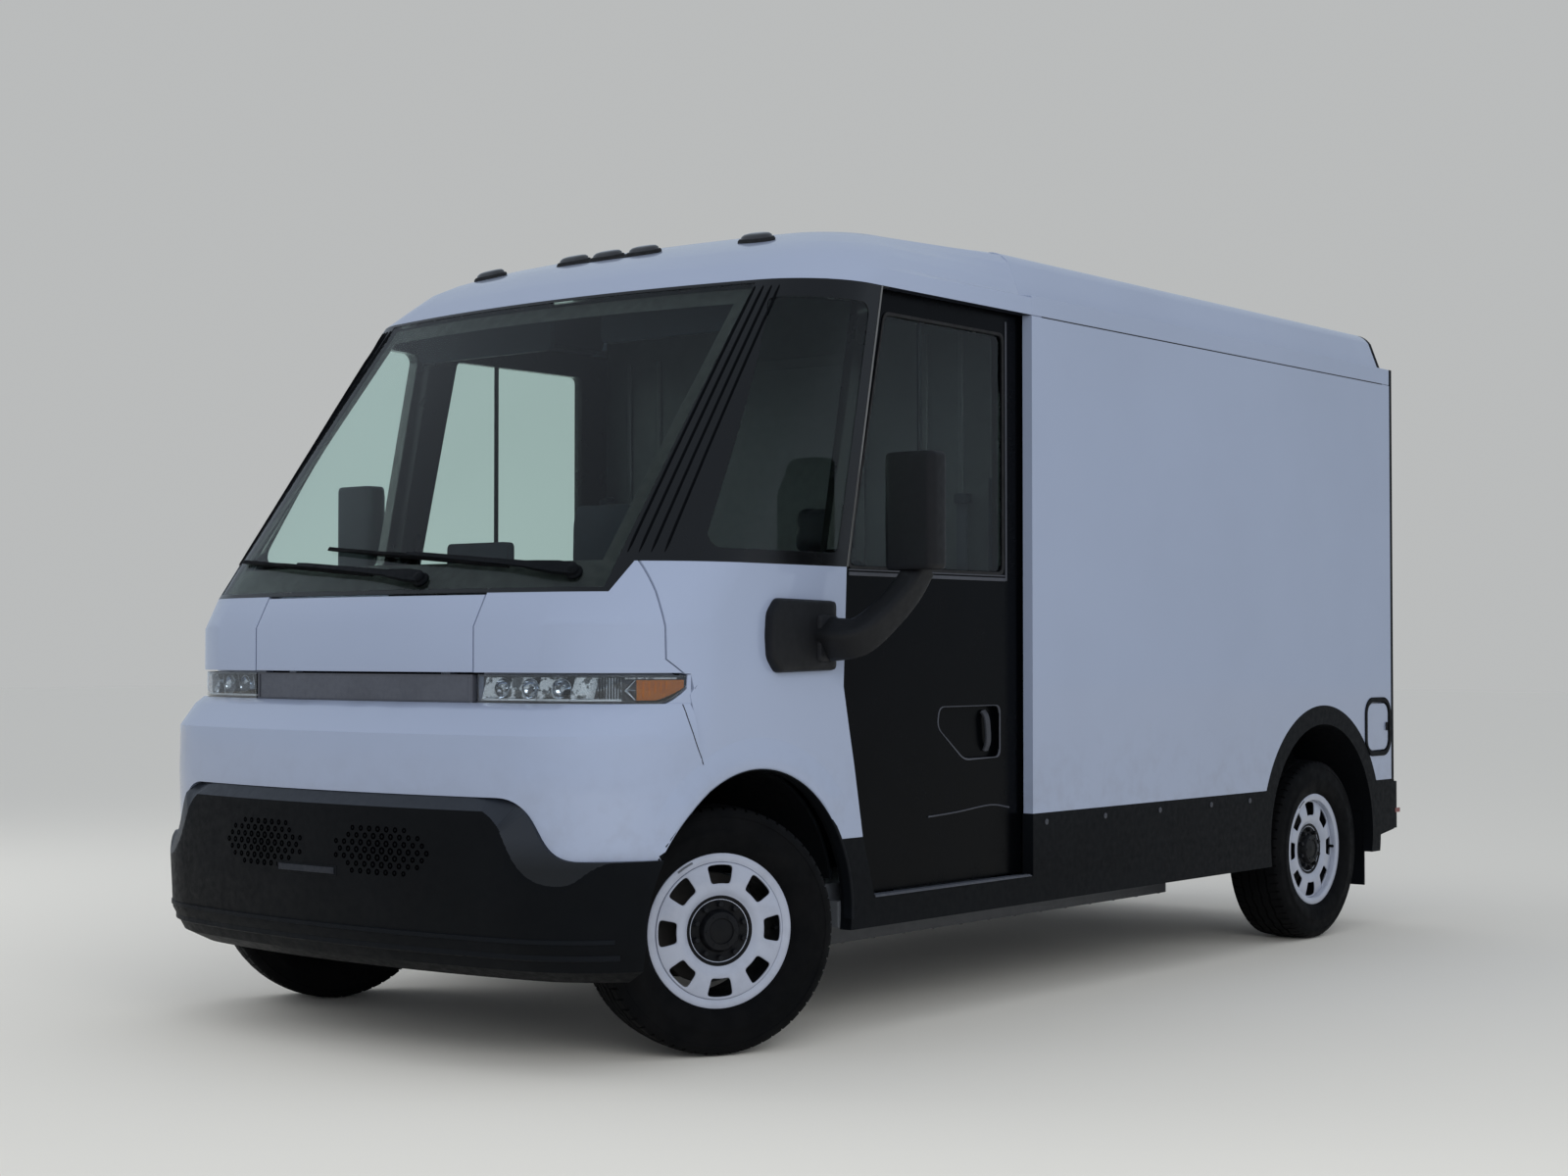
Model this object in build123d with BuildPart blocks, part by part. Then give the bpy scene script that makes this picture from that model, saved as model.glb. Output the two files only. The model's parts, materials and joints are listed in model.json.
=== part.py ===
from build123d import *
import os
from math import asin, degrees, sqrt

# Electric cargo van, in millimetres.
# +Y points rearwards, +X to the vehicle's left and +Z up. The origin is on the ground,
# midway between the bumpers. Left-hand pieces are modelled and mirrored to the right.

os.makedirs("parts", exist_ok=True)

# ---------------------------------------------------------------- driving dimensions
BODY_HALF = 1100.0        # half of the body width
WALL = 45.0               # cab wall, from outer to inner skin
GLASS = 12.0              # fixed glazing
FIT = 0.3                 # seat clearance between pieces that touch
SHUT = 6.0                # shut line round a piece that opens

FRONT_AXLE_Y = -1895.0
WHEELBASE = 3797.0
REAR_AXLE_Y = FRONT_AXLE_Y + WHEELBASE
TYRE_R = 381.0
TYRE_WIDTH = 245.0
FRONT_WHEEL_X = 928.0     # tyre centre planes
REAR_WHEEL_X = 955.0
RIM_R = 215.0             # outside of the rim barrel
RIM_FLANGE_R = 235.0
RIM_WIDTH = 184.0
STUB_R = 30.0
RUNNING = 0.05            # radial clearance of a hub on its stub
KINGPIN_X = 865.0
STEER = 27.0              # the parked van's front wheels point this far to its right

CAB_REAR_Y = -367.0       # rear edge of the side door opening
BOX_REAR_Y = 2600.0
BOX_FLANGE = 25.0         # black edge of the rear portal
SIDE_BOTTOM_Z = 655.0
GUTTER_Z = 2430.0
ROOF_Z = 2700.0
BELT_Z = 1503.0
PANEL = 40.0              # cargo side panel and roof skin

NOSE_BOW = 4150.0         # plan radius of the front of the cab
LAMP_BOTTOM_Z = 1078.0
LAMP_TOP_Z = 1163.0
COWL_Z = 1410.0
HOOD_HALF = 508.0
LAMP_DEPTH = 40.0         # from the lamp face to its bay

ARCH_R = 469.0            # front wheel opening
ARCH_Z = 403.0            # its centre height
FLARE_R = 561.0           # rear wheel-arch trim, outer edge
FLARE_Z = 436.0           # its centre height
FLARE_ARCH_R = 480.0      # rear wheel opening

SILL_BOTTOM_Z = 340.0
ROCKER_TOP_Z = 430.0
CARGO_FLOOR_Z = 655.0
FLOOR_HALF = 995.0        # cab and cargo floor, inside the sliding doors

DOOR_THICK = 40.0
DOOR_GAP = 10.0           # running gap on both faces of a sliding door
DOOR_OUT = BODY_HALF - WALL - DOOR_GAP
DOOR_IN = DOOR_OUT - DOOR_THICK
DOOR_BOTTOM_Z = 445.0
DOOR_TOP_Z = 2440.0

# Plan levels of the cab: height, foremost point, corner radius, half width.
UPPER_LEVELS = [
    (LAMP_TOP_Z + SHUT, -2560.0, 430.0, BODY_HALF),
    (1307.0, -2560.0, 430.0, BODY_HALF),
    (COWL_Z, -2505.0, 430.0, BODY_HALF),
    (GUTTER_Z, -1705.0, 300.0, BODY_HALF),
]
LAMP_LEVELS = [
    (LAMP_BOTTOM_Z, -2556.0, 430.0, BODY_HALF),
    (LAMP_TOP_Z + SHUT, -2556.0, 430.0, BODY_HALF),
]
LAMP_BAY_LEVELS = [
    (LAMP_BOTTOM_Z, -2556.0, 430.0, BODY_HALF),
    (LAMP_TOP_Z + 40.0, -2556.0, 430.0, BODY_HALF),
]
FASCIA_LEVELS = [
    (600.0, -2655.0, 430.0, BODY_HALF),
    (840.0, -2664.0, 430.0, BODY_HALF),
    (985.0, -2660.0, 430.0, BODY_HALF),
    (1055.0, -2600.0, 430.0, BODY_HALF),
    (LAMP_BOTTOM_Z, -2564.0, 430.0, BODY_HALF),
]
BUMPER_LEVELS = [
    (262.0, -2560.0, 400.0, BODY_HALF - 40.0),
    (300.0, -2640.0, 420.0, BODY_HALF - 8.0),
    (375.0, -2688.0, 430.0, BODY_HALF),
    (560.0, -2700.0, 430.0, BODY_HALF),
    (765.0, -2697.0, 430.0, BODY_HALF),
    (806.0, -2660.0, 430.0, BODY_HALF),
]
# The cap's levels also give the half width at its rear end, where it meets the cargo roof.
CAP_LEVELS = [
    (GUTTER_Z + FIT, -1703.0, 300.0, BODY_HALF, BODY_HALF),
    (2492.0, -1640.0, 385.0, 1076.0, BODY_HALF),
    (2508.0, -1620.0, 390.0, 1065.0, 1046.0),
    (2552.0, -1556.0, 370.0, 1034.0, 1029.0),
    (2590.0, -1468.0, 345.0, 992.0, 1015.0),
    (2625.0, -1362.0, 300.0, 926.0, 1002.0),
    (2658.0, -1250.0, 250.0, 864.0, 966.0),
    (2676.0, -1110.0, 245.0, 776.0, 905.0),
    (2692.0, -870.0, 240.0, 590.0, 500.0),
    (ROOF_Z, -600.0, 230.0, 380.0, 150.0),
]

# Side view of the front door opening: (y, z) from its top front corner down to its sill.
DOOR_EDGE = [
    (-1261.0, GUTTER_Z),
    (-1450.0, BELT_Z),
    (-1467.0, 1120.0),
    (-1439.0, 990.0),
    (-1411.0, 866.0),
    (-1366.0, 636.0),
    (-1302.0, DOOR_BOTTOM_Z - 8.0),
]


def finish(part, name):
    """Label one finished sub-part and write it as the node of the same name."""
    part.label = name
    export_step(part, f"parts/{name}.step")
    print(f"{name:22s} {len(part.solids())} solid(s)")


def mirrored(part):
    """The same piece on the vehicle's right-hand side."""
    with BuildPart() as other:
        add(part)
        mirror(about=Plane.YZ, mode=Mode.REPLACE)
    return other.part


def both_sides(part):
    """One node with the piece on the left and its mirror image on the right."""
    with BuildPart() as pair:
        add(part)
        mirror(about=Plane.YZ)
    return pair.part


def steered(part, side):
    """A front wheel's piece, turned about its kingpin on that side to the parked angle."""
    return part.rotate(Axis((side * KINGPIN_X, FRONT_AXLE_Y, 0), (0, 0, 1)), -STEER)


def plan(z, front, corner, half, rear_half=None, inset=0.0):
    """Closed plan outline of the cab: a bowed front, two round corners and straight sides."""
    nose = NOSE_BOW - inset
    turn = corner - inset
    side = half - inset
    bow_y = front + NOSE_BOW
    turn_y = bow_y - sqrt((nose - turn) ** 2 - (side - turn) ** 2)
    sweep = degrees(asin((side - turn) / (nose - turn)))
    rear = side if rear_half is None else rear_half - inset
    with BuildSketch(Plane.XY.offset(z)) as outline:
        with BuildLine():
            CenterArc((0, bow_y), nose, 270 - sweep, 2 * sweep)
            CenterArc((side - turn, turn_y), turn, sweep - 90, 90 - sweep)
            CenterArc((turn - side, turn_y), turn, 180, 90 - sweep)
            Line((side, turn_y), (rear, CAB_REAR_Y))
            Line((rear, CAB_REAR_Y), (-rear, CAB_REAR_Y))
            Line((-rear, CAB_REAR_Y), (-side, turn_y))
        make_face()
    return outline.sketch


def cab_solid(levels, inset=0.0, drop=0.0):
    """The volume inside one skin of the cab, optionally lowered by drop."""
    with BuildPart() as volume:
        loft([plan(level[0] - drop, *level[1:], inset=inset) for level in levels], ruled=True)
    return volume.part


def cab_skin(levels, outer=0.0, inner=WALL):
    """The cab wall between two insets of the same levels, open at top, bottom and rear."""
    with BuildPart() as skin:
        add(cab_solid(levels, outer))
        add(cab_solid(levels, inner), mode=Mode.SUBTRACT)
    return skin.part


def side_block(points, x_from, x_to):
    """A side-view outline of (y, z) points, extruded from x_from to x_to."""
    with BuildPart() as block:
        with BuildSketch(Plane.YZ.offset(x_from)):
            with BuildLine():
                Polyline(*points, close=True)
            make_face()
        extrude(amount=x_to - x_from)
    return block.part


def front_block(points, y_from, y_to):
    """A front-view outline of (x, z) points, extruded from y_from to y_to."""
    with BuildPart() as block:
        with BuildSketch(Plane.XZ.offset(-y_from)):
            with BuildLine():
                Polyline(*points, close=True)
            make_face()
        extrude(amount=y_from - y_to)
    return block.part


def block(x_range, y_range, z_range):
    """A plain box from its three ranges."""
    with BuildPart() as solid:
        with BuildSketch(Plane.XY.offset(z_range[0])):
            with Locations(((x_range[0] + x_range[1]) / 2, (y_range[0] + y_range[1]) / 2)):
                Rectangle(x_range[1] - x_range[0], y_range[1] - y_range[0])
        extrude(amount=z_range[1] - z_range[0])
    return solid.part


def cross_cylinder(y, z, radius, x_from, x_to):
    """A cylinder along X."""
    with BuildPart() as rod:
        with BuildSketch(Plane.YZ.offset(x_from)):
            with Locations((y, z)):
                Circle(radius)
        extrude(amount=x_to - x_from)
    return rod.part


# ---------------------------------------------------------------- cab outlines in front view
SPLIT_CHAMFER_X = 916.0   # where the cowl line turns up to the belt line
SPLIT_BELT_X = 940.0


def glasshouse_front(gap):
    """Front view of everything above the cowl and belt lines, lifted by gap."""
    return [
        (-1300, BELT_Z + gap), (-SPLIT_BELT_X + gap, BELT_Z + gap),
        (-SPLIT_CHAMFER_X + gap, COWL_Z + gap), (SPLIT_CHAMFER_X - gap, COWL_Z + gap),
        (SPLIT_BELT_X - gap, BELT_Z + gap), (1300, BELT_Z + gap),
        (1300, 3000), (-1300, 3000),
    ]


def door_edge_side(gap, front_y):
    """Side view of everything ahead of the door opening's front edge, moved back by gap."""
    edge = [(y + gap, z) for y, z in DOOR_EDGE]
    top = (edge[0][0], 3000.0)
    bottom = (edge[-1][0], 0.0)
    return [top, *edge, bottom, (front_y, 0.0), (front_y, 3000.0)]


WINDSHIELD_TOP_HALF = 862.0
WINDSHIELD_LOW_HALF = 898.0
WINDSHIELD_LOW_Z = COWL_Z + 14.0
WINDSHIELD_TOP_Z = GUTTER_Z - 12.0


def windshield_front(gap):
    """Front view of the windshield opening, made smaller all round by gap."""
    return [
        (-WINDSHIELD_LOW_HALF + gap, WINDSHIELD_LOW_Z + gap),
        (WINDSHIELD_LOW_HALF - gap, WINDSHIELD_LOW_Z + gap),
        (WINDSHIELD_TOP_HALF - gap, WINDSHIELD_TOP_Z - gap),
        (-WINDSHIELD_TOP_HALF + gap, WINDSHIELD_TOP_Z - gap),
    ]


QUARTER_TOP_Z = 2365.0
QUARTER_LOW_Z = 1545.0


def quarter_side(gap):
    """Side view of the quarter window, made smaller all round by gap."""
    with BuildSketch(Plane.YZ) as pane:
        with BuildLine():
            Polyline((-1640, QUARTER_TOP_Z), (-1325, QUARTER_TOP_Z), (-1500, QUARTER_LOW_Z),
                     (-2105, QUARTER_LOW_Z), close=True)
        make_face()
        fillet(pane.vertices(), 35.0)
        offset(amount=-gap, mode=Mode.REPLACE)
    return pane.sketch


# ---------------------------------------------------------------- cab structure and glazing
upper_skin = cab_skin(UPPER_LEVELS)

with BuildPart() as cab_frame:
    add(upper_skin)
    add(front_block(glasshouse_front(0.0), 100.0, -3000.0), mode=Mode.INTERSECT)
    add(side_block(door_edge_side(0.0, -3000.0), -1300, 1300), mode=Mode.INTERSECT)
    add(front_block(windshield_front(0.0), 0.0, -3000.0), mode=Mode.SUBTRACT)
    extrude(quarter_side(0.0), amount=1300, both=True, mode=Mode.SUBTRACT)
finish(cab_frame.part, "cab_frame")

with BuildPart() as windshield:
    add(cab_skin(UPPER_LEVELS, 2.0, 2.0 + GLASS))
    add(front_block(windshield_front(FIT), -100.0, -3000.0), mode=Mode.INTERSECT)
finish(windshield.part, "windshield")

with BuildPart() as quarter_glass:
    add(cab_skin(UPPER_LEVELS, 2.0, 2.0 + GLASS))
    extrude(quarter_side(FIT), amount=1300, both=True, mode=Mode.INTERSECT)
finish(quarter_glass.part, "quarter_glass")

# ---------------------------------------------------------------- nose: fascia, hood, fenders
FENDER_SHUT = [(-2273.0, 1600.0), (-2264.0, 1209.0), (-2205.0, LAMP_TOP_Z), (-2154.0, 909.0),
               (-2100.0, 600.0)]


def fender_side(gap):
    """Side view of everything behind the fender shut line, moved back by gap."""
    line = [(y + gap, z) for y, z in FENDER_SHUT]
    return [*line, (0.0, 600.0), (0.0, 1600.0)]


def arch_cut(y, z, radius):
    """The wheel opening, as a cylinder right across the vehicle."""
    return cross_cylinder(y, z, radius, -1300, 1300)


BUMPER_TOP_Z = 803.0
BUMPER_SIDE_Z = 622.0


def bumper_front(gap):
    """Front view of the black bumper: level in the middle, an S-curve down to the arches."""
    with BuildSketch(Plane.XZ) as outline:
        with BuildLine():
            top = Line((-690 - gap, BUMPER_TOP_Z + gap), (690 + gap, BUMPER_TOP_Z + gap))
            right = Spline((690 + gap, BUMPER_TOP_Z + gap), (810 + gap, 740 + gap),
                           (935 + gap, BUMPER_SIDE_Z + gap),
                           tangents=[(1, 0), (1, 0)])
            Line(right @ 1, (1300, BUMPER_SIDE_Z + gap))
            Line((1300, BUMPER_SIDE_Z + gap), (1300, 0))
            Line((1300, 0), (-1300, 0))
            Line((-1300, 0), (-1300, BUMPER_SIDE_Z + gap))
            Line((-1300, BUMPER_SIDE_Z + gap), (-935 - gap, BUMPER_SIDE_Z + gap))
            left = Spline((-690 - gap, BUMPER_TOP_Z + gap), (-810 - gap, 740 + gap),
                          (-935 - gap, BUMPER_SIDE_Z + gap),
                          tangents=[(-1, 0), (-1, 0)])
        make_face()
    return outline.sketch


HEADLAMP_SIDE = [(-3000, LAMP_BOTTOM_Z), (-2215, LAMP_BOTTOM_Z), (-2180, LAMP_TOP_Z - 40),
                 (-2190, LAMP_TOP_Z), (-3000, LAMP_TOP_Z)]


HOOD_STOP_X = 360.0


def hood_stop(x):
    """A rubber stop on the lamp bay that the closed hood rests against."""
    with BuildPart() as stop:
        add(cab_skin([(LAMP_TOP_Z - 20, -2560.0, 430.0, BODY_HALF),
                      (LAMP_TOP_Z + 45, -2560.0, 430.0, BODY_HALF)], WALL + FIT, WALL + 28))
        add(block((x - 18, x + 18), (-3000, 0), (0, 2000)), mode=Mode.INTERSECT)
    return stop.part


with BuildPart() as front_fascia:
    add(cab_skin(UPPER_LEVELS))
    add(cab_skin(LAMP_BAY_LEVELS, LAMP_DEPTH, LAMP_DEPTH + 30.0))
    add(cab_skin(FASCIA_LEVELS, 0.0, 80.0))
    add(front_block(glasshouse_front(-FIT), 0.0, -3000.0), mode=Mode.SUBTRACT)
    add(side_block(fender_side(-SHUT / 2), -1300, 1300), mode=Mode.SUBTRACT)
    add(block((-HOOD_HALF - SHUT, HOOD_HALF + SHUT), (-3000, -1000), (LAMP_TOP_Z, 1600)),
        mode=Mode.SUBTRACT)
    extrude(bumper_front(FIT), amount=3000, mode=Mode.SUBTRACT)
    add(arch_cut(FRONT_AXLE_Y, ARCH_Z, ARCH_R), mode=Mode.SUBTRACT)
    for side in (-1, 1):
        add(hood_stop(side * HOOD_STOP_X))
finish(front_fascia.part, "front_fascia")

with BuildPart() as hood:
    add(upper_skin)
    add(block((-HOOD_HALF, HOOD_HALF), (-3000, -1500), (LAMP_TOP_Z + SHUT, COWL_Z - SHUT)),
        mode=Mode.INTERSECT)
finish(hood.part, "hood")

with BuildPart() as fenders:
    add(upper_skin)
    add(cab_skin([(600.0, -2600.0, 430.0, BODY_HALF), UPPER_LEVELS[0]]))
    add(side_block(fender_side(SHUT / 2), -1300, 1300), mode=Mode.INTERSECT)
    add(side_block(door_edge_side(0.0, -3000.0), -1300, 1300), mode=Mode.INTERSECT)
    add(front_block(glasshouse_front(-FIT), 0.0, -3000.0), mode=Mode.SUBTRACT)
    add(block((-1300, 1300), (-3000, 0), (500, 634)), mode=Mode.SUBTRACT)
    with BuildSketch(Plane.YZ) as lamp_notch:
        with BuildLine():
            Polyline(*HEADLAMP_SIDE, close=True)
        make_face()
        offset(amount=SHUT / 2, mode=Mode.REPLACE)
    extrude(amount=1300, both=True, mode=Mode.SUBTRACT)
    add(arch_cut(FRONT_AXLE_Y, ARCH_Z, ARCH_R), mode=Mode.SUBTRACT)
finish(fenders.part, "fenders")

with BuildPart() as grille_bar:
    add(cab_skin(LAMP_LEVELS, 4.0, LAMP_DEPTH - FIT))
    add(block((-HOOD_HALF + 14, HOOD_HALF - 14), (-3000, -1500),
              (LAMP_BOTTOM_Z + FIT, LAMP_TOP_Z)), mode=Mode.INTERSECT)
finish(grille_bar.part, "grille_bar")

with BuildPart() as headlamps:
    add(cab_skin(LAMP_LEVELS, 4.0, LAMP_DEPTH - FIT))
    add(side_block(HEADLAMP_SIDE, -1300, 1300), mode=Mode.INTERSECT)
    add(block((-HOOD_HALF + 10, HOOD_HALF - 10), (-3000, 0), (0, 2000)), mode=Mode.SUBTRACT)
finish(headlamps.part, "headlamps")

with BuildPart() as front_bumper:
    add(cab_skin(BUMPER_LEVELS, 0.0, 60.0))
    extrude(bumper_front(0.0), amount=3000, mode=Mode.INTERSECT)
    add(block((-1300, 1300), (FRONT_AXLE_Y, 3000), (0, 1000)), mode=Mode.SUBTRACT)
    add(arch_cut(FRONT_AXLE_Y, ARCH_Z, ARCH_R), mode=Mode.SUBTRACT)
finish(front_bumper.part, "front_bumper")

# ---------------------------------------------------------------- roof
with BuildPart() as roof_front_cap:
    add(cab_solid(CAP_LEVELS))
    add(cab_solid(CAP_LEVELS, inset=WALL, drop=PANEL), mode=Mode.SUBTRACT)
    add(block((-DOOR_OUT - DOOR_GAP, DOOR_OUT + DOOR_GAP), (-1500, 0),
              (GUTTER_Z - 10, DOOR_TOP_Z + DOOR_GAP)), mode=Mode.SUBTRACT)
finish(roof_front_cap.part, "roof_front_cap")


def roof_section(inset, low_z, y):
    """Cross-section of the cargo roof at y: cant rail, ledge, leaning side and crown."""
    side = BODY_HALF - inset
    with BuildSketch(Plane.XZ.offset(-y)) as section:
        with BuildLine():
            Line((0, low_z), (side, low_z))
            rail = Line((side, low_z), (side, 2500.0 - inset))
            ledge = Line(rail @ 1, (1046.0 - inset, 2508.0 - inset))
            flank = Line(ledge @ 1, (1002.0 - inset, 2625.0 - inset))
            shoulder = ThreePointArc(flank @ 1, (965.0 - inset, 2660.0 - inset),
                                     (905.0 - inset, 2674.0 - inset))
            crown = ThreePointArc(shoulder @ 1, (450.0, 2693.0 - inset), (0, ROOF_Z - inset))
            Line(crown @ 1, (0, low_z))
        make_face()
        mirror(about=Plane.YZ)
    return section.sketch


def roof_run(inset, low_z, y_from, y_to):
    """The volume under the cargo roof between two stations."""
    with BuildPart() as volume:
        extrude(roof_section(inset, low_z, y_from), amount=y_from - y_to)
    return volume.part


ROOF_FRONT_Y = CAB_REAR_Y + FIT
FLANGE_Y = BOX_REAR_Y - BOX_FLANGE

with BuildPart() as roof_panel:
    add(roof_run(0.0, GUTTER_Z + FIT, ROOF_FRONT_Y, FLANGE_Y - FIT))
    add(roof_run(PANEL, GUTTER_Z - 10.0, ROOF_FRONT_Y - 10, FLANGE_Y + 10), mode=Mode.SUBTRACT)
finish(roof_panel.part, "roof_panel")

# ---------------------------------------------------------------- cargo box
CHARGE_Y = 2437.0
CHARGE_Z = 893.0
CHARGE_SIZE = 205.0
CHARGE_LID = 18.0
CHARGE_RING = 28.0        # black frame round the lid

with BuildPart() as side_panel:
    add(block((BODY_HALF - PANEL, BODY_HALF), (CAB_REAR_Y, FLANGE_Y - FIT),
              (SIDE_BOTTOM_Z, GUTTER_Z)))
    add(cross_cylinder(REAR_AXLE_Y, FLARE_Z, FLARE_R + FIT, 0, 1300), mode=Mode.SUBTRACT)
    fillet(side_panel.edges().filter_by(Axis.Y).group_by(Axis.Z)[-1].group_by(Axis.X)[-1], 5.0)
side_panel_right = mirrored(side_panel.part)
finish(side_panel_right, "side_panel_right")


def charge_face(gap):
    """Side view of the charge lid with round corners, grown by gap."""
    with BuildSketch(Plane.YZ) as lid_face:
        with Locations((CHARGE_Y, CHARGE_Z)):
            RectangleRounded(CHARGE_SIZE + 2 * gap, CHARGE_SIZE + 2 * gap, 48.0 + gap)
    return lid_face.sketch


with BuildPart() as side_panel_left:
    add(side_panel.part)
    extrude(charge_face(CHARGE_RING), amount=1300, mode=Mode.SUBTRACT)
    extrude(charge_face(CHARGE_RING), amount=BODY_HALF - CHARGE_LID - FIT)
    extrude(charge_face(-25.0), amount=BODY_HALF, mode=Mode.SUBTRACT)
    add(block((0, BODY_HALF - PANEL), (-3000, 3000), (0, 3000)), mode=Mode.SUBTRACT)
    add(cross_cylinder(REAR_AXLE_Y, FLARE_Z, FLARE_R + FIT, 0, 1300), mode=Mode.SUBTRACT)
finish(side_panel_left.part, "side_panel_left")

with BuildPart() as charge_lid:
    extrude(charge_face(0.0), amount=BODY_HALF)
    add(block((0, BODY_HALF - CHARGE_LID), (0, 3000), (0, 3000)), mode=Mode.SUBTRACT)
finish(charge_lid.part, "charge_lid")

with BuildPart() as charge_ring:
    extrude(charge_face(CHARGE_RING - FIT), amount=BODY_HALF + 5)
    extrude(charge_face(SHUT), amount=1300, mode=Mode.SUBTRACT)
    add(block((0, BODY_HALF - CHARGE_LID), (0, 3000), (0, 3000)), mode=Mode.SUBTRACT)
    add(cross_cylinder(REAR_AXLE_Y, FLARE_Z, FLARE_R + FIT, 0, 1300), mode=Mode.SUBTRACT)
finish(charge_ring.part, "charge_ring")

REAR_DOOR_HALF = 952.0
REAR_DOOR_LOW_Z = 705.0
REAR_DOOR_TOP_Z = 2410.0
REAR_DOOR_THICK = 45.0
REAR_SEAL = 18.0          # how far the portal's lip reaches behind the doors

with BuildPart() as rear_portal:
    add(roof_run(PANEL + FIT, SIDE_BOTTOM_Z + FIT, BOX_REAR_Y - 120, FLANGE_Y))
    add(roof_run(0.0, SIDE_BOTTOM_Z + FIT, FLANGE_Y, BOX_REAR_Y))
    add(block((-REAR_DOOR_HALF - SHUT, REAR_DOOR_HALF + SHUT),
              (BOX_REAR_Y - REAR_DOOR_THICK - FIT, 3000),
              (REAR_DOOR_LOW_Z - SHUT, REAR_DOOR_TOP_Z + SHUT)), mode=Mode.SUBTRACT)
    add(block((-REAR_DOOR_HALF + REAR_SEAL, REAR_DOOR_HALF - REAR_SEAL), (0, 3000),
              (REAR_DOOR_LOW_Z + REAR_SEAL, REAR_DOOR_TOP_Z - REAR_SEAL)), mode=Mode.SUBTRACT)
finish(rear_portal.part, "rear_portal")

with BuildPart() as rear_door_left:
    add(block((SHUT / 2, REAR_DOOR_HALF), (BOX_REAR_Y - REAR_DOOR_THICK, BOX_REAR_Y),
              (REAR_DOOR_LOW_Z, REAR_DOOR_TOP_Z)))
finish(rear_door_left.part, "rear_door_left")
finish(mirrored(rear_door_left.part), "rear_door_right")

# ---------------------------------------------------------------- sliding side doors
DOOR_LAP = 30.0           # how far the door reaches behind the front edge of its opening
DOOR_REAR_Y = -300.0
DOOR_WINDOW = [(-1171.0, 2345.0), (-482.0, 2345.0), (-482.0, 1512.0), (-1369.0, 1512.0)]
TRACK_TOP_Z = ROCKER_TOP_Z
SHOE_Y = (-1150.0, -450.0)
HANDLE_RECESS = [(-500.0, 1040.0), (-500.0, 862.0), (-716.0, 862.0), (-872.0, 972.0), (-860.0, 1040.0)]
HANDLE_DEPTH = 22.0


def door_window(gap):
    """Side view of the sliding door's window, made smaller all round by gap."""
    with BuildSketch(Plane.YZ.offset(DOOR_IN)) as pane:
        with BuildLine():
            Polyline(*DOOR_WINDOW, close=True)
        make_face()
        fillet(pane.vertices(), 28.0)
        offset(amount=-gap, mode=Mode.REPLACE)
    return pane.sketch


with BuildPart() as door_left:
    with BuildSketch(Plane.YZ.offset(DOOR_IN)) as door_face:
        with BuildLine():
            front = [(y - DOOR_LAP, z) for y, z in DOOR_EDGE[1:-1]]
            Polyline((DOOR_EDGE[0][0] - DOOR_LAP, DOOR_TOP_Z), *front,
                     (DOOR_EDGE[-1][0] - DOOR_LAP, DOOR_BOTTOM_Z),
                     (DOOR_REAR_Y, DOOR_BOTTOM_Z), (DOOR_REAR_Y, DOOR_TOP_Z), close=True)
        make_face()
    extrude(amount=DOOR_THICK)
    extrude(door_window(0.0), amount=DOOR_THICK, mode=Mode.SUBTRACT)
    with BuildSketch(Plane.YZ.offset(DOOR_OUT - HANDLE_DEPTH)) as recess:
        with BuildLine():
            Polyline(*HANDLE_RECESS, close=True)
        make_face()
        fillet(recess.vertices(), 22.0)
    extrude(amount=HANDLE_DEPTH, mode=Mode.SUBTRACT)
    for shoe_y in SHOE_Y:
        add(block((DOOR_IN + 10, DOOR_OUT - 10), (shoe_y - 35, shoe_y + 35),
                  (TRACK_TOP_Z + FIT, DOOR_BOTTOM_Z)))
finish(door_left.part, "door_left")
finish(mirrored(door_left.part), "door_right")

with BuildPart() as door_glass_left:
    extrude(door_window(FIT), amount=DOOR_THICK)
    add(block((0, DOOR_OUT - 6 - GLASS), (-3000, 3000), (0, 3000)), mode=Mode.SUBTRACT)
    add(block((DOOR_OUT - 6, 2000), (-3000, 3000), (0, 3000)), mode=Mode.SUBTRACT)
finish(door_glass_left.part, "door_glass_left")
finish(mirrored(door_glass_left.part), "door_glass_right")

# ---------------------------------------------------------------- floor and rockers
CAB_FLOOR_Z = 480.0
ROCKER_IN = 960.0
FOOTWELL_HALF = 540.0
WHEEL_BOX_X = 770.0
LINER = 12.0
FLAP_Y = REAR_AXLE_Y + 481.0      # mud flap behind the rear wheel
FLAP_LOW_Z = 190.0
FRONT_LINER_X = 560.0
CARGO_FLOOR_THICK = 55.0
DECK_HALF = 740.0         # raised wear plate between the wheel boxes
DECK = 5.0

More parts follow.
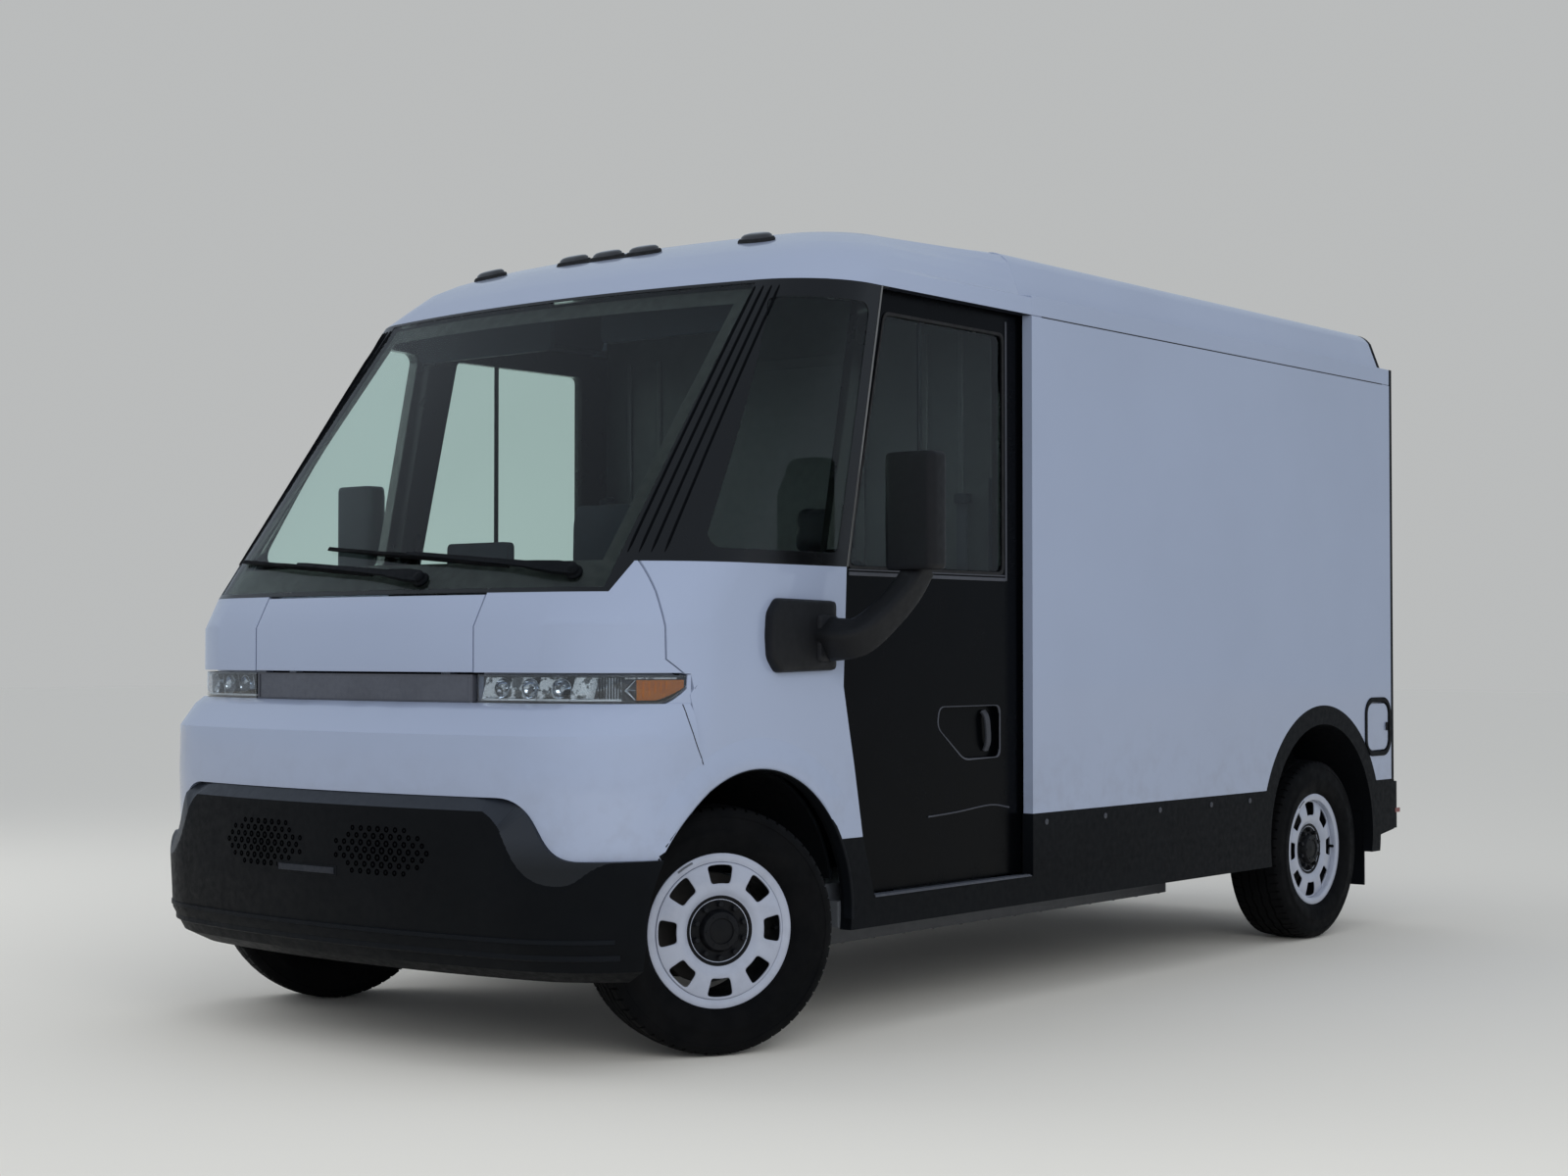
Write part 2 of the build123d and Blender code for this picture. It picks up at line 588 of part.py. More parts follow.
with BuildPart() as floor_panel:
    add(block((-FLOOR_HALF, FLOOR_HALF), (-1440, -330), (ROCKER_TOP_Z, CAB_FLOOR_Z)))
    add(block((-FOOTWELL_HALF, FOOTWELL_HALF), (-2360, -1440), (ROCKER_TOP_Z, CAB_FLOOR_Z)))
    add(block((-FOOTWELL_HALF, FOOTWELL_HALF), (-2360, -2330), (CAB_FLOOR_Z, 950)))
    for side in (-1, 1):
        tower_x = sorted((side * 455, side * 560))
        add(block(tower_x, (FRONT_AXLE_Y - 76, FRONT_AXLE_Y + 76), (0, 600)),
            mode=Mode.SUBTRACT)
    add(block((-FLOOR_HALF, FLOOR_HALF), (-360, -330), (ROCKER_TOP_Z, CARGO_FLOOR_Z)))
    add(block((-FLOOR_HALF, FLOOR_HALF), (-330, BOX_REAR_Y - 120 - FIT),
              (CARGO_FLOOR_Z - CARGO_FLOOR_THICK, CARGO_FLOOR_Z)))
    add(block((-DECK_HALF, DECK_HALF), (-290, 2460), (CARGO_FLOOR_Z, CARGO_FLOOR_Z + DECK)))
    for side in (-1, 1):
        rocker_x = sorted((side * ROCKER_IN, side * (BODY_HALF - WALL)))
        wall_x = sorted((side * (FLOOR_HALF - 30), side * FLOOR_HALF))
        arch_x = sorted((side * (WHEEL_BOX_X - FIT), side * 1300))
        add(block(rocker_x, (-1440, 1385), (SILL_BOTTOM_Z + 5, ROCKER_TOP_Z)))
        add(block(wall_x, (-360, 1385), (ROCKER_TOP_Z, CARGO_FLOOR_Z - 10)))
        add(block(arch_x, (REAR_AXLE_Y - FLARE_ARCH_R - LINER - FIT,
                           REAR_AXLE_Y + FLARE_ARCH_R + LINER + FIT), (500, 700)),
            mode=Mode.SUBTRACT)
finish(floor_panel.part, "floor_panel")

with BuildPart() as bulkhead:
    add(roof_run(PANEL + FIT, CARGO_FLOOR_Z + FIT, -345, -315))
    add(block((-FLOOR_HALF, FLOOR_HALF), (-1000, 1000), (0, 3000)), mode=Mode.INTERSECT)
finish(bulkhead.part, "bulkhead")

# ---------------------------------------------------------------- wheel arch liners
with BuildPart() as front_liner:
    add(cross_cylinder(FRONT_AXLE_Y, ARCH_Z, ARCH_R + LINER, FRONT_LINER_X,
                       BODY_HALF - WALL - FIT))
    add(cross_cylinder(FRONT_AXLE_Y, ARCH_Z, ARCH_R, FRONT_LINER_X + LINER, 1300),
        mode=Mode.SUBTRACT)
    add(block((0, 1300), (-3000, 0), (-500, 500)), mode=Mode.SUBTRACT)
    add(block((0, FRONT_LINER_X + LINER), (FRONT_AXLE_Y - 200, FRONT_AXLE_Y + 200), (0, 560)),
        mode=Mode.SUBTRACT)
    add(cab_solid([(400.0, -2655.0, 430.0, BODY_HALF), (1078.0, -2655.0, 430.0, BODY_HALF)],
                  inset=80.0 + FIT), mode=Mode.INTERSECT)

with BuildPart() as rear_liner:
    add(cross_cylinder(REAR_AXLE_Y, FLARE_Z, FLARE_ARCH_R + LINER, WHEEL_BOX_X,
                       BODY_HALF - WALL))
    add(cross_cylinder(REAR_AXLE_Y, FLARE_Z, FLARE_ARCH_R, WHEEL_BOX_X + LINER, 1300),
        mode=Mode.SUBTRACT)
    add(block((0, 1300), (0, 3000), (-500, 520)), mode=Mode.SUBTRACT)
    add(block((WHEEL_BOX_X + 30, BODY_HALF - WALL), (FLAP_Y, FLAP_Y + 10), (FLAP_LOW_Z, 530)))

with BuildPart() as wheel_liners:
    add(both_sides(front_liner.part))
    add(both_sides(rear_liner.part))
finish(wheel_liners.part, "wheel_liners")

# ---------------------------------------------------------------- side cladding
SWOOSH_DEPTH = 18.0       # the sill steps in below a crease that rises towards the rear arch

with BuildPart() as cladding:
    with BuildSketch(Plane.YZ.offset(BODY_HALF - WALL + FIT)) as cladding_face:
        with BuildLine():
            Polyline((-1560, 634 - FIT), (DOOR_EDGE[5][0], 634 - FIT),
                     (DOOR_EDGE[6][0], ROCKER_TOP_Z + 4), (CAB_REAR_Y, ROCKER_TOP_Z + 4),
                     (CAB_REAR_Y, SIDE_BOTTOM_Z - FIT), (BOX_REAR_Y, SIDE_BOTTOM_Z - FIT),
                     (BOX_REAR_Y, 430), (2380, 400), (1500, SILL_BOTTOM_Z),
                     (-1430, SILL_BOTTOM_Z), (-1560, 380), close=True)
        make_face()
        with Locations((REAR_AXLE_Y, FLARE_Z)):
            Circle(FLARE_R)
            Circle(FLARE_ARCH_R, mode=Mode.SUBTRACT)
        with Locations((REAR_AXLE_Y, 0)):
            Rectangle(2 * FLARE_R + 10, 2 * SILL_BOTTOM_Z, mode=Mode.SUBTRACT)
        with Locations((FRONT_AXLE_Y, ARCH_Z)):
            Circle(ARCH_R, mode=Mode.SUBTRACT)
    extrude(amount=WALL)
    with BuildSketch(Plane.YZ.offset(BODY_HALF - SWOOSH_DEPTH)) as swoosh:
        with BuildLine():
            crease = Spline((-1420, 352), (-700, 366), (0, 398), (700, 452), (1380, 520))
            Line(crease @ 1, (1420, 300))
            Line((1420, 300), (-1420, 300))
            Line((-1420, 300), crease @ 0)
        make_face()
    extrude(amount=SWOOSH_DEPTH, mode=Mode.SUBTRACT)
finish(both_sides(cladding.part), "side_cladding")

# ---------------------------------------------------------------- chassis and battery
RAIL_X = 430.0
RAIL_WIDTH = 70.0
RAIL_LOW_Z = 340.0
BATTERY_HALF = 700.0
BATTERY_LOW_Z = 225.0

with BuildPart() as chassis_frame:
    for side in (-1, 1):
        add(side_block([(-2480, RAIL_LOW_Z), (1350, RAIL_LOW_Z), (1500, 475), (2560, 475),
                        (2560, 600 - FIT), (-330 + FIT, 600 - FIT),
                        (-330 + FIT, ROCKER_TOP_Z - FIT), (-2480, ROCKER_TOP_Z - FIT)],
                       side * RAIL_X - RAIL_WIDTH / 2, side * RAIL_X + RAIL_WIDTH / 2))
    for member_y in (-2450, -1500, -600, 300, 1200, 2500):
        low = RAIL_LOW_Z + 10 if member_y < 1500 else 485
        add(block((-RAIL_X, RAIL_X), (member_y - 40, member_y + 40), (low, low + 70)))
    for outrigger_y in (-1200, -500, 400, 1250):
        for side in (-1, 1):
            ends = sorted((side * RAIL_X, side * (ROCKER_IN - FIT)))
            add(block(ends, (outrigger_y - 30, outrigger_y + 30),
                      (RAIL_LOW_Z + 10, RAIL_LOW_Z + 70)))
finish(chassis_frame.part, "chassis_frame")

with BuildPart() as battery_pack:
    with BuildSketch(Plane.XY.offset(BATTERY_LOW_Z)):
        with Locations((0, 75)):
            RectangleRounded(2 * BATTERY_HALF, 2450, 60)
    extrude(amount=RAIL_LOW_Z - FIT - BATTERY_LOW_Z)
finish(battery_pack.part, "battery_pack")

# ---------------------------------------------------------------- suspension and axles
with BuildPart() as front_suspension:
    add(block((-RAIL_X + 30, RAIL_X - 30), (FRONT_AXLE_Y - 60, FRONT_AXLE_Y + 60),
              (215, RAIL_LOW_Z - FIT)))
    add(block((-RAIL_X - 45, RAIL_X + 45), (FRONT_AXLE_Y - 60, FRONT_AXLE_Y + 60),
              (215, 250)))
    for side in (-1, 1):
        with BuildSketch(Plane.XY.offset(222)):
            with BuildLine():
                Polyline((side * (RAIL_X + 20), FRONT_AXLE_Y - 150),
                         (side * (KINGPIN_X + 30), FRONT_AXLE_Y - 24),
                         (side * (KINGPIN_X + 30), FRONT_AXLE_Y + 24),
                         (side * (RAIL_X + 20), FRONT_AXLE_Y + 150), close=True)
            make_face()
        extrude(amount=24)
        arm = sorted((side * (RAIL_X + 20), side * (KINGPIN_X + 24)))
        add(block(arm, (FRONT_AXLE_Y - 22, FRONT_AXLE_Y + 22), (512, 534)))
        tower = sorted((side * (RAIL_X + RAIL_WIDTH / 2 + FIT), side * (RAIL_X + 85)))
        add(block(tower, (FRONT_AXLE_Y - 70, FRONT_AXLE_Y + 70), (222, 560)))
finish(front_suspension.part, "front_suspension")

with BuildPart() as rear_suspension:
    add(cross_cylinder(REAR_AXLE_Y, TYRE_R, 52, -REAR_WHEEL_X + 90, REAR_WHEEL_X - 90))
    add(cross_cylinder(REAR_AXLE_Y, TYRE_R, STUB_R, -REAR_WHEEL_X - 60, REAR_WHEEL_X + 60))
    add(cross_cylinder(REAR_AXLE_Y, TYRE_R, 125, -170, 170))
    for side in (-1, 1):
        spring_x = sorted((side * 570, side * 640))
        with BuildSketch(Plane.YZ.offset(spring_x[0])):
            with BuildLine():
                ThreePointArc((REAR_AXLE_Y - 560, 500), (REAR_AXLE_Y, 420),
                              (REAR_AXLE_Y + 560, 500))
                Line((REAR_AXLE_Y + 560, 500), (REAR_AXLE_Y + 560, 530))
                ThreePointArc((REAR_AXLE_Y + 560, 530), (REAR_AXLE_Y, 462),
                              (REAR_AXLE_Y - 560, 530))
                Line((REAR_AXLE_Y - 560, 530), (REAR_AXLE_Y - 560, 500))
            make_face()
        extrude(amount=70)
        for end_y in (REAR_AXLE_Y - 560, REAR_AXLE_Y + 560):
            hanger = sorted((side * (RAIL_X + RAIL_WIDTH / 2 + FIT), side * 640))
            add(block(hanger, (end_y - 30, end_y + 30), (495, 560)))
finish(rear_suspension.part, "rear_suspension")

with BuildPart() as knuckle_left:
    with BuildSketch(Plane.XY.offset(246 + FIT)):
        with Locations((KINGPIN_X, FRONT_AXLE_Y)):
            Circle(24)
    extrude(amount=512 - 246 - 2 * FIT)
    add(cross_cylinder(FRONT_AXLE_Y, TYRE_R, 58, KINGPIN_X - 18, KINGPIN_X + 35))
    add(cross_cylinder(FRONT_AXLE_Y, TYRE_R, STUB_R, KINGPIN_X, FRONT_WHEEL_X + 60))
finish(steered(knuckle_left.part, 1), "knuckle_left")
finish(steered(mirrored(knuckle_left.part), -1), "knuckle_right")

# ---------------------------------------------------------------- wheels and tyres
TYRE_FLATS = 48           # a tyre is turned with this many flats, which keeps it light
TYRE_SHOULDER = 24.0
SIDEWALL_R = 300.0        # where the sidewall is widest
WINDOW_COUNT = 8


def turned(profile, y):
    """A many-sided solid about the axle at y, lofted through (x, radius) pairs."""
    sections = []
    for x, radius in profile:
        with BuildSketch(Plane.YZ.offset(x)) as section:
            with Locations((y, TYRE_R)):
                RegularPolygon(radius, TYRE_FLATS, major_radius=False, rotation=180 / TYRE_FLATS)
        sections.append(section.sketch)
    with BuildPart() as solid:
        loft(sections, ruled=True)
    return solid.part


def tyre(x, y):
    """A left-hand tyre centred on the plane x of the axle at y."""
    half = TYRE_WIDTH / 2
    bead = RIM_WIDTH / 2 - FIT
    with BuildPart() as ring:
        add(turned([(x - half, SIDEWALL_R), (x - half + 6, 345), (x - half + TYRE_SHOULDER, 371),
                    (x - half + 60, TYRE_R), (x + half - 60, TYRE_R),
                    (x + half - TYRE_SHOULDER, 371), (x + half - 6, 345),
                    (x + half, SIDEWALL_R)], y))
        add(turned([(x - half, SIDEWALL_R - 8), (x - bead, RIM_FLANGE_R + 2),
                    (x + bead, RIM_FLANGE_R + 2), (x + half, SIDEWALL_R - 8)], y),
            mode=Mode.SUBTRACT)
        add(turned([(x - bead, RIM_FLANGE_R + 3), (x + bead, RIM_FLANGE_R + 3)], y))
        add(cross_cylinder(y, TYRE_R, RIM_R + FIT, x - half, x + half), mode=Mode.SUBTRACT)
    return ring.part


def wheel(x, y, dish):
    """A left-hand steel wheel on the plane x of the axle at y, its face dished by dish."""
    bead = RIM_WIDTH / 2
    face = bead - dish
    with BuildPart() as disc:
        with BuildSketch(Plane.XZ.offset(-y)) as section:
            with BuildLine():
                Polyline((-bead - 8, RIM_FLANGE_R), (-bead, RIM_FLANGE_R),
                         (-bead, RIM_R), (bead, RIM_R), (bead, RIM_FLANGE_R),
                         (bead + 8, RIM_FLANGE_R), (bead + 8, RIM_R - 8),
                         (face + 22, RIM_R - 10), (face + 30, 172), (face + 30, 120),
                         (face + 14, 100), (face + 14, STUB_R + RUNNING),
                         (-4, STUB_R + RUNNING), (-4, 62), (face - 6, 62), (face, 108),
                         (face + 14, 126), (face + 14, 168), (face + 6, RIM_R - 10),
                         (-bead - 8, RIM_R - 10), close=True)
            make_face()
        revolve(axis=Axis((0, y, 0), (1, 0, 0)))
        with BuildSketch(Plane(origin=(0, y, 0), x_dir=(0, 1, 0), z_dir=(1, 0, 0))) as windows:
            with PolarLocations(0, WINDOW_COUNT, start_angle=22.5):
                with Locations((158, 0)):
                    Trapezoid(74, 48, 74, rotation=90)
            fillet(windows.vertices(), 9)
        extrude(amount=400, mode=Mode.SUBTRACT)
    return disc.part.moved(Location((x, 0, TYRE_R)))


for name, piece in (("wheel", wheel(FRONT_WHEEL_X, FRONT_AXLE_Y, 18.0)),
                    ("tyre", tyre(FRONT_WHEEL_X, FRONT_AXLE_Y))):
    finish(steered(piece, 1), f"{name}_front_left")
    finish(steered(mirrored(piece), -1), f"{name}_front_right")

for name, piece in (("wheel", wheel(REAR_WHEEL_X, REAR_AXLE_Y, 40.0)),
                    ("tyre", tyre(REAR_WHEEL_X, REAR_AXLE_Y))):
    finish(piece, f"{name}_rear_left")
    finish(mirrored(piece), f"{name}_rear_right")

# ---------------------------------------------------------------- mirrors, lamps and trim
MIRROR_HEAD = (1320.0, -1380.0, 1672.0)

with BuildPart() as mirror_arm:
    with BuildSketch(Plane.YZ.offset(BODY_HALF + FIT)):
        with Locations((-1700, 1281)):
            RectangleRounded(332, 231, 60)
    extrude(amount=34)
    add(block((BODY_HALF + 20, 1285), (-1612, -1538), (1212, 1330)))
    with BuildSketch(Plane.XY.offset(1290)):
        with Locations((1248, -1566)):
            RectangleRounded(74, 92, 20)
    with BuildSketch(Plane.XY.offset(1520)):
        with Locations((1310, -1390)):
            RectangleRounded(66, 66, 20)
    loft()
    with BuildSketch(Plane.XY.offset(1490)):
        with Locations(MIRROR_HEAD[:2]):
            RectangleRounded(200, 95, 36)
    extrude(amount=375)
finish(both_sides(mirror_arm.part), "mirrors")

with BuildPart() as marker_lamps:
    for lamp_x, lamp_y in ((-640, -1350), (-168, -1395), (0, -1400), (168, -1395), (640, -1350)):
        with BuildSketch(Plane.XY.offset(2400)):
            with Locations((lamp_x, lamp_y)):
                RectangleRounded(150, 66, 30)
        extrude(amount=400)
    add(cab_solid(CAP_LEVELS, drop=-30.0), mode=Mode.INTERSECT)
    add(cab_solid(CAP_LEVELS, drop=-FIT), mode=Mode.SUBTRACT)
finish(marker_lamps.part, "marker_lamps")

with BuildPart() as tail_lamps:
    for side in (-1, 1):
        lamp_x = sorted((side * 985, side * 1075))
        add(block(lamp_x, (BOX_REAR_Y + FIT, BOX_REAR_Y + 12), (1050, 1400)))
finish(tail_lamps.part, "tail_lamps")

with BuildPart() as rear_bumper:
    add(block((-1085, 1085), (BOX_REAR_Y + FIT, BOX_REAR_Y + 100), (430, 640)))
    fillet(rear_bumper.edges().filter_by(Axis.Z).group_by(Axis.Y)[-1], 50)
    for side in (-1, 1):
        bracket = sorted((side * (RAIL_X - 30), side * (RAIL_X + 30)))
        add(block(bracket, (2560 + FIT, BOX_REAR_Y + 10), (480, 590)))
finish(rear_bumper.part, "rear_bumper")

# ---------------------------------------------------------------- wipers


def wiper_band(pivot, tip, width):
    """Front view of one wiper: a tapering strip from its pivot to its tip."""
    run = Vector(tip[0] - pivot[0], tip[1] - pivot[1])
    across = Vector(-run.Y, run.X).normalized() * width / 2
    return [
        (pivot[0] + across.X * 1.6, pivot[1] + across.Y * 1.6),
        (tip[0] + across.X, tip[1] + across.Y),
        (tip[0] - across.X, tip[1] - across.Y),
        (pivot[0] - across.X * 1.6, pivot[1] - across.Y * 1.6),
    ]


with BuildPart() as wipers:
    for pivot, tip in (((212, 1454), (-828, 1535)), ((790, 1468), (-323, 1564))):
        add(front_block(wiper_band(pivot, tip, 22.0), 0.0, -3000.0))
        add(block((pivot[0] - 26, pivot[0] + 26), (-3000, 0), (COWL_Z + 1, pivot[1] + 14)))
    add(cab_solid(UPPER_LEVELS, -24.0), mode=Mode.INTERSECT)
    add(cab_solid(UPPER_LEVELS, -FIT), mode=Mode.SUBTRACT)
finish(wipers.part, "wipers")

# ---------------------------------------------------------------- cab interior
STEERING = (455.0, -1700.0, 1270.0)
COLUMN_R = 35.0


def steering_column(radius, length):
    """The steering column, from the wheel's hub forwards and down into the dashboard."""
    with BuildPart() as column:
        with BuildSketch(Plane(origin=STEERING, x_dir=(1, 0, 0), z_dir=(0, -0.78, -0.62))):
            Circle(radius)
        extrude(amount=length)
    return column.part


with BuildPart() as dashboard:
    add(cab_solid([(900.0, -2556.0, 430.0, BODY_HALF), *UPPER_LEVELS[1:]], inset=WALL + 42.0))
    add(side_block([(-2400, 960), (-1980, 960), (-1900, 1120), (-1930, 1330), (-2060, 1385),
                    (-2400, 1385)], -1300, 1300), mode=Mode.INTERSECT)
    add(block((WALL + FIT - BODY_HALF, BODY_HALF - WALL - FIT), (-2000, -1960), (1180, 1240)))
    add(steering_column(COLUMN_R + FIT, 330.0 + FIT), mode=Mode.SUBTRACT)
finish(dashboard.part, "dashboard")

with BuildPart() as steering_wheel:
    with BuildSketch(Plane(origin=STEERING, x_dir=(1, 0, 0), z_dir=(0, 0.78, 0.62))) as hub:
        Circle(205)
        Circle(175, mode=Mode.SUBTRACT)
        Rectangle(380, 50)
        Circle(60)
    extrude(amount=28)
    add(steering_column(COLUMN_R, 330.0))
finish(steering_wheel.part, "steering_wheel")

SEAT_X = 455.0

with BuildPart() as seat_base:
    add(block((SEAT_X - 200, SEAT_X + 200), (-1330, -900), (CAB_FLOOR_Z + FIT, 860)))
finish(seat_base.part, "seat_base")

with BuildPart() as driver_seat:
    add(side_block([(-1390, 860 + FIT), (-850, 860 + FIT), (-690, 1560), (-800, 1590),
                    (-960, 1000), (-1390, 1000)], SEAT_X - 245, SEAT_X + 245))
    add(side_block([(-780, 1570), (-710, 1550), (-660, 1760), (-760, 1780)],
                   SEAT_X - 130, SEAT_X + 130))
finish(driver_seat.part, "driver_seat")
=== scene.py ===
"""Electric cargo van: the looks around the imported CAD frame.

Units are metres in the row frame: +Y rearwards, +X to the vehicle's left, +Z up.
"""

import json
from math import asin, copysign, cos, pi, radians, sin, sqrt

import bmesh
import bpy
from mathutils import Matrix, Vector
from mathutils.bvhtree import BVHTree


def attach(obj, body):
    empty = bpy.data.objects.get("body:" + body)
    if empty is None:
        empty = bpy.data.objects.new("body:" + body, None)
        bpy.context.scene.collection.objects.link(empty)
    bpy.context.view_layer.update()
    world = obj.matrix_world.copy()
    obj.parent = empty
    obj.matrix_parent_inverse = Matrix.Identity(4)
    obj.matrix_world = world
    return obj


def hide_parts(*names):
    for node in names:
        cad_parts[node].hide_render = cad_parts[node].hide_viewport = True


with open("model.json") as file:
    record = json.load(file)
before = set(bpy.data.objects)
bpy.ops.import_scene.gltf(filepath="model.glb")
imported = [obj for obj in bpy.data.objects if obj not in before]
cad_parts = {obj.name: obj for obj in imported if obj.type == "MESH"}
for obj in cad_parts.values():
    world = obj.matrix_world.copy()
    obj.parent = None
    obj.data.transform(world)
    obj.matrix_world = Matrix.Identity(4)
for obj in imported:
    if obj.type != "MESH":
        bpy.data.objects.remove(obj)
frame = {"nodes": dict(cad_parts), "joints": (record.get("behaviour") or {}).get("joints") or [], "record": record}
NODES = frame["nodes"]
JOINTS = {joint["name"]: joint for joint in frame["joints"]}
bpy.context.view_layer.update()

ACROSS = Vector((1, 0, 0))
REARWARDS = Vector((0, 1, 0))
UP = Vector((0, 0, 1))
MIRROR = Matrix.Scale(-1, 4, ACROSS)
SIDES = (("left", Matrix.Identity(4)), ("right", MIRROR))
SMOOTH_DEGREES = 32
WELD_DISTANCE = 0.00005


# ---------------------------------------------------------------- small tools
def add_object(name, data):
    """A new object in the scene."""
    made = bpy.data.objects.new(name, data)
    bpy.context.scene.collection.objects.link(made)
    return made


def modify(made, kind, **settings):
    """Adds a modifier to an object."""
    modifier = made.modifiers.new(kind.lower(), kind)
    for key, value in settings.items():
        setattr(modifier, key, value)


def soften(made, width):
    """Rounds an object's sharp edges, as moulded and pressed pieces have them."""
    modify(made, "BEVEL", width=width, segments=2, limit_method="ANGLE", angle_limit=radians(35),
           use_clamp_overlap=True, harden_normals=True)


def tree_of(mesh, shape=Vector):
    """A mesh's faces, ready for casting rays at."""
    return BVHTree.FromPolygons([shape(vertex.co) for vertex in mesh.vertices],
                                [list(polygon.vertices) for polygon in mesh.polygons])


def spread(low, high, steps):
    """Evenly spaced numbers from low to high."""
    return [low + (high - low) * j / steps for j in range(steps + 1)]


def circle(count, radius=1.0, start=0.0):
    """Places round a circle, as (cosine, sine) pairs times its radius."""
    angles = [start + 2 * pi * j / count for j in range(count)]
    return [(radius * cos(angle), radius * sin(angle)) for angle in angles]


def squarish(count, wide_power, high_power):
    """Places round a circle, pushed towards the corners by powers below 1."""
    return [(copysign(abs(a) ** wide_power, a), copysign(abs(b) ** high_power, b)) for a, b in circle(count)]


def ease(t):
    """0 to 1 with a level start and end."""
    return t * t * (3 - 2 * t)


def headings(path):
    """The direction of a path at each of its points."""
    last = len(path) - 1
    return [(path[min(i + 1, last)] - path[max(i - 1, 0)]).normalized() for i in range(last + 1)]


def rounded(corners, radius, steps=5):
    """A flat outline of 3-D corners with its corners rounded by arcs."""
    corners = [Vector(corner) for corner in corners]
    outline = []
    for i, corner in enumerate(corners):
        back = corners[i - 1] - corner
        ahead = corners[(i + 1) % len(corners)] - corner
        reach = min(radius, back.length * 0.48, ahead.length * 0.48)
        start = corner + back.normalized() * reach
        end = corner + ahead.normalized() * reach
        for t in spread(0, 1, steps):
            outline.append(start * (1 - t) ** 2 + corner * 2 * t * (1 - t) + end * t ** 2)
    return outline


def rounded_rect(low, high, radius, axis=1, steps=4):
    """The round-cornered outline, seen along the axis, of the box between two corners."""
    first, second = [i for i in range(3) if i != axis]
    corners = []
    for a, b in ((low, low), (high, low), (high, high), (low, high)):
        corner = Vector(low)
        corner[first] = a[first]
        corner[second] = b[second]
        corners.append(corner)
    return rounded(corners, radius, steps)


def curve(points, steps=8):
    """A smooth path through a few points."""
    points = [Vector(point) for point in points]
    padded = [points[0] * 2 - points[1], *points, points[-1] * 2 - points[-2]]
    path = []
    for i in range(1, len(padded) - 2):
        a, b, c, d = padded[i - 1:i + 3]
        for t in spread(0, 1, steps)[:-1]:
            path.append((b * 2 + (c - a) * t + (a * 2 - b * 5 + c * 4 - d) * t * t
                         + (b * 3 - a - c * 3 + d) * t ** 3) / 2)
    return [*path, points[-1]]


def stacked(outline, axis, *levels):
    """Rows of one outline, scaled about its middle and moved along an axis: (distance, scale) pairs."""
    middle = sum(outline, Vector()) / len(outline)
    return [[middle + (point - middle) * scale + axis * distance for point in outline]
            for distance, scale in levels]


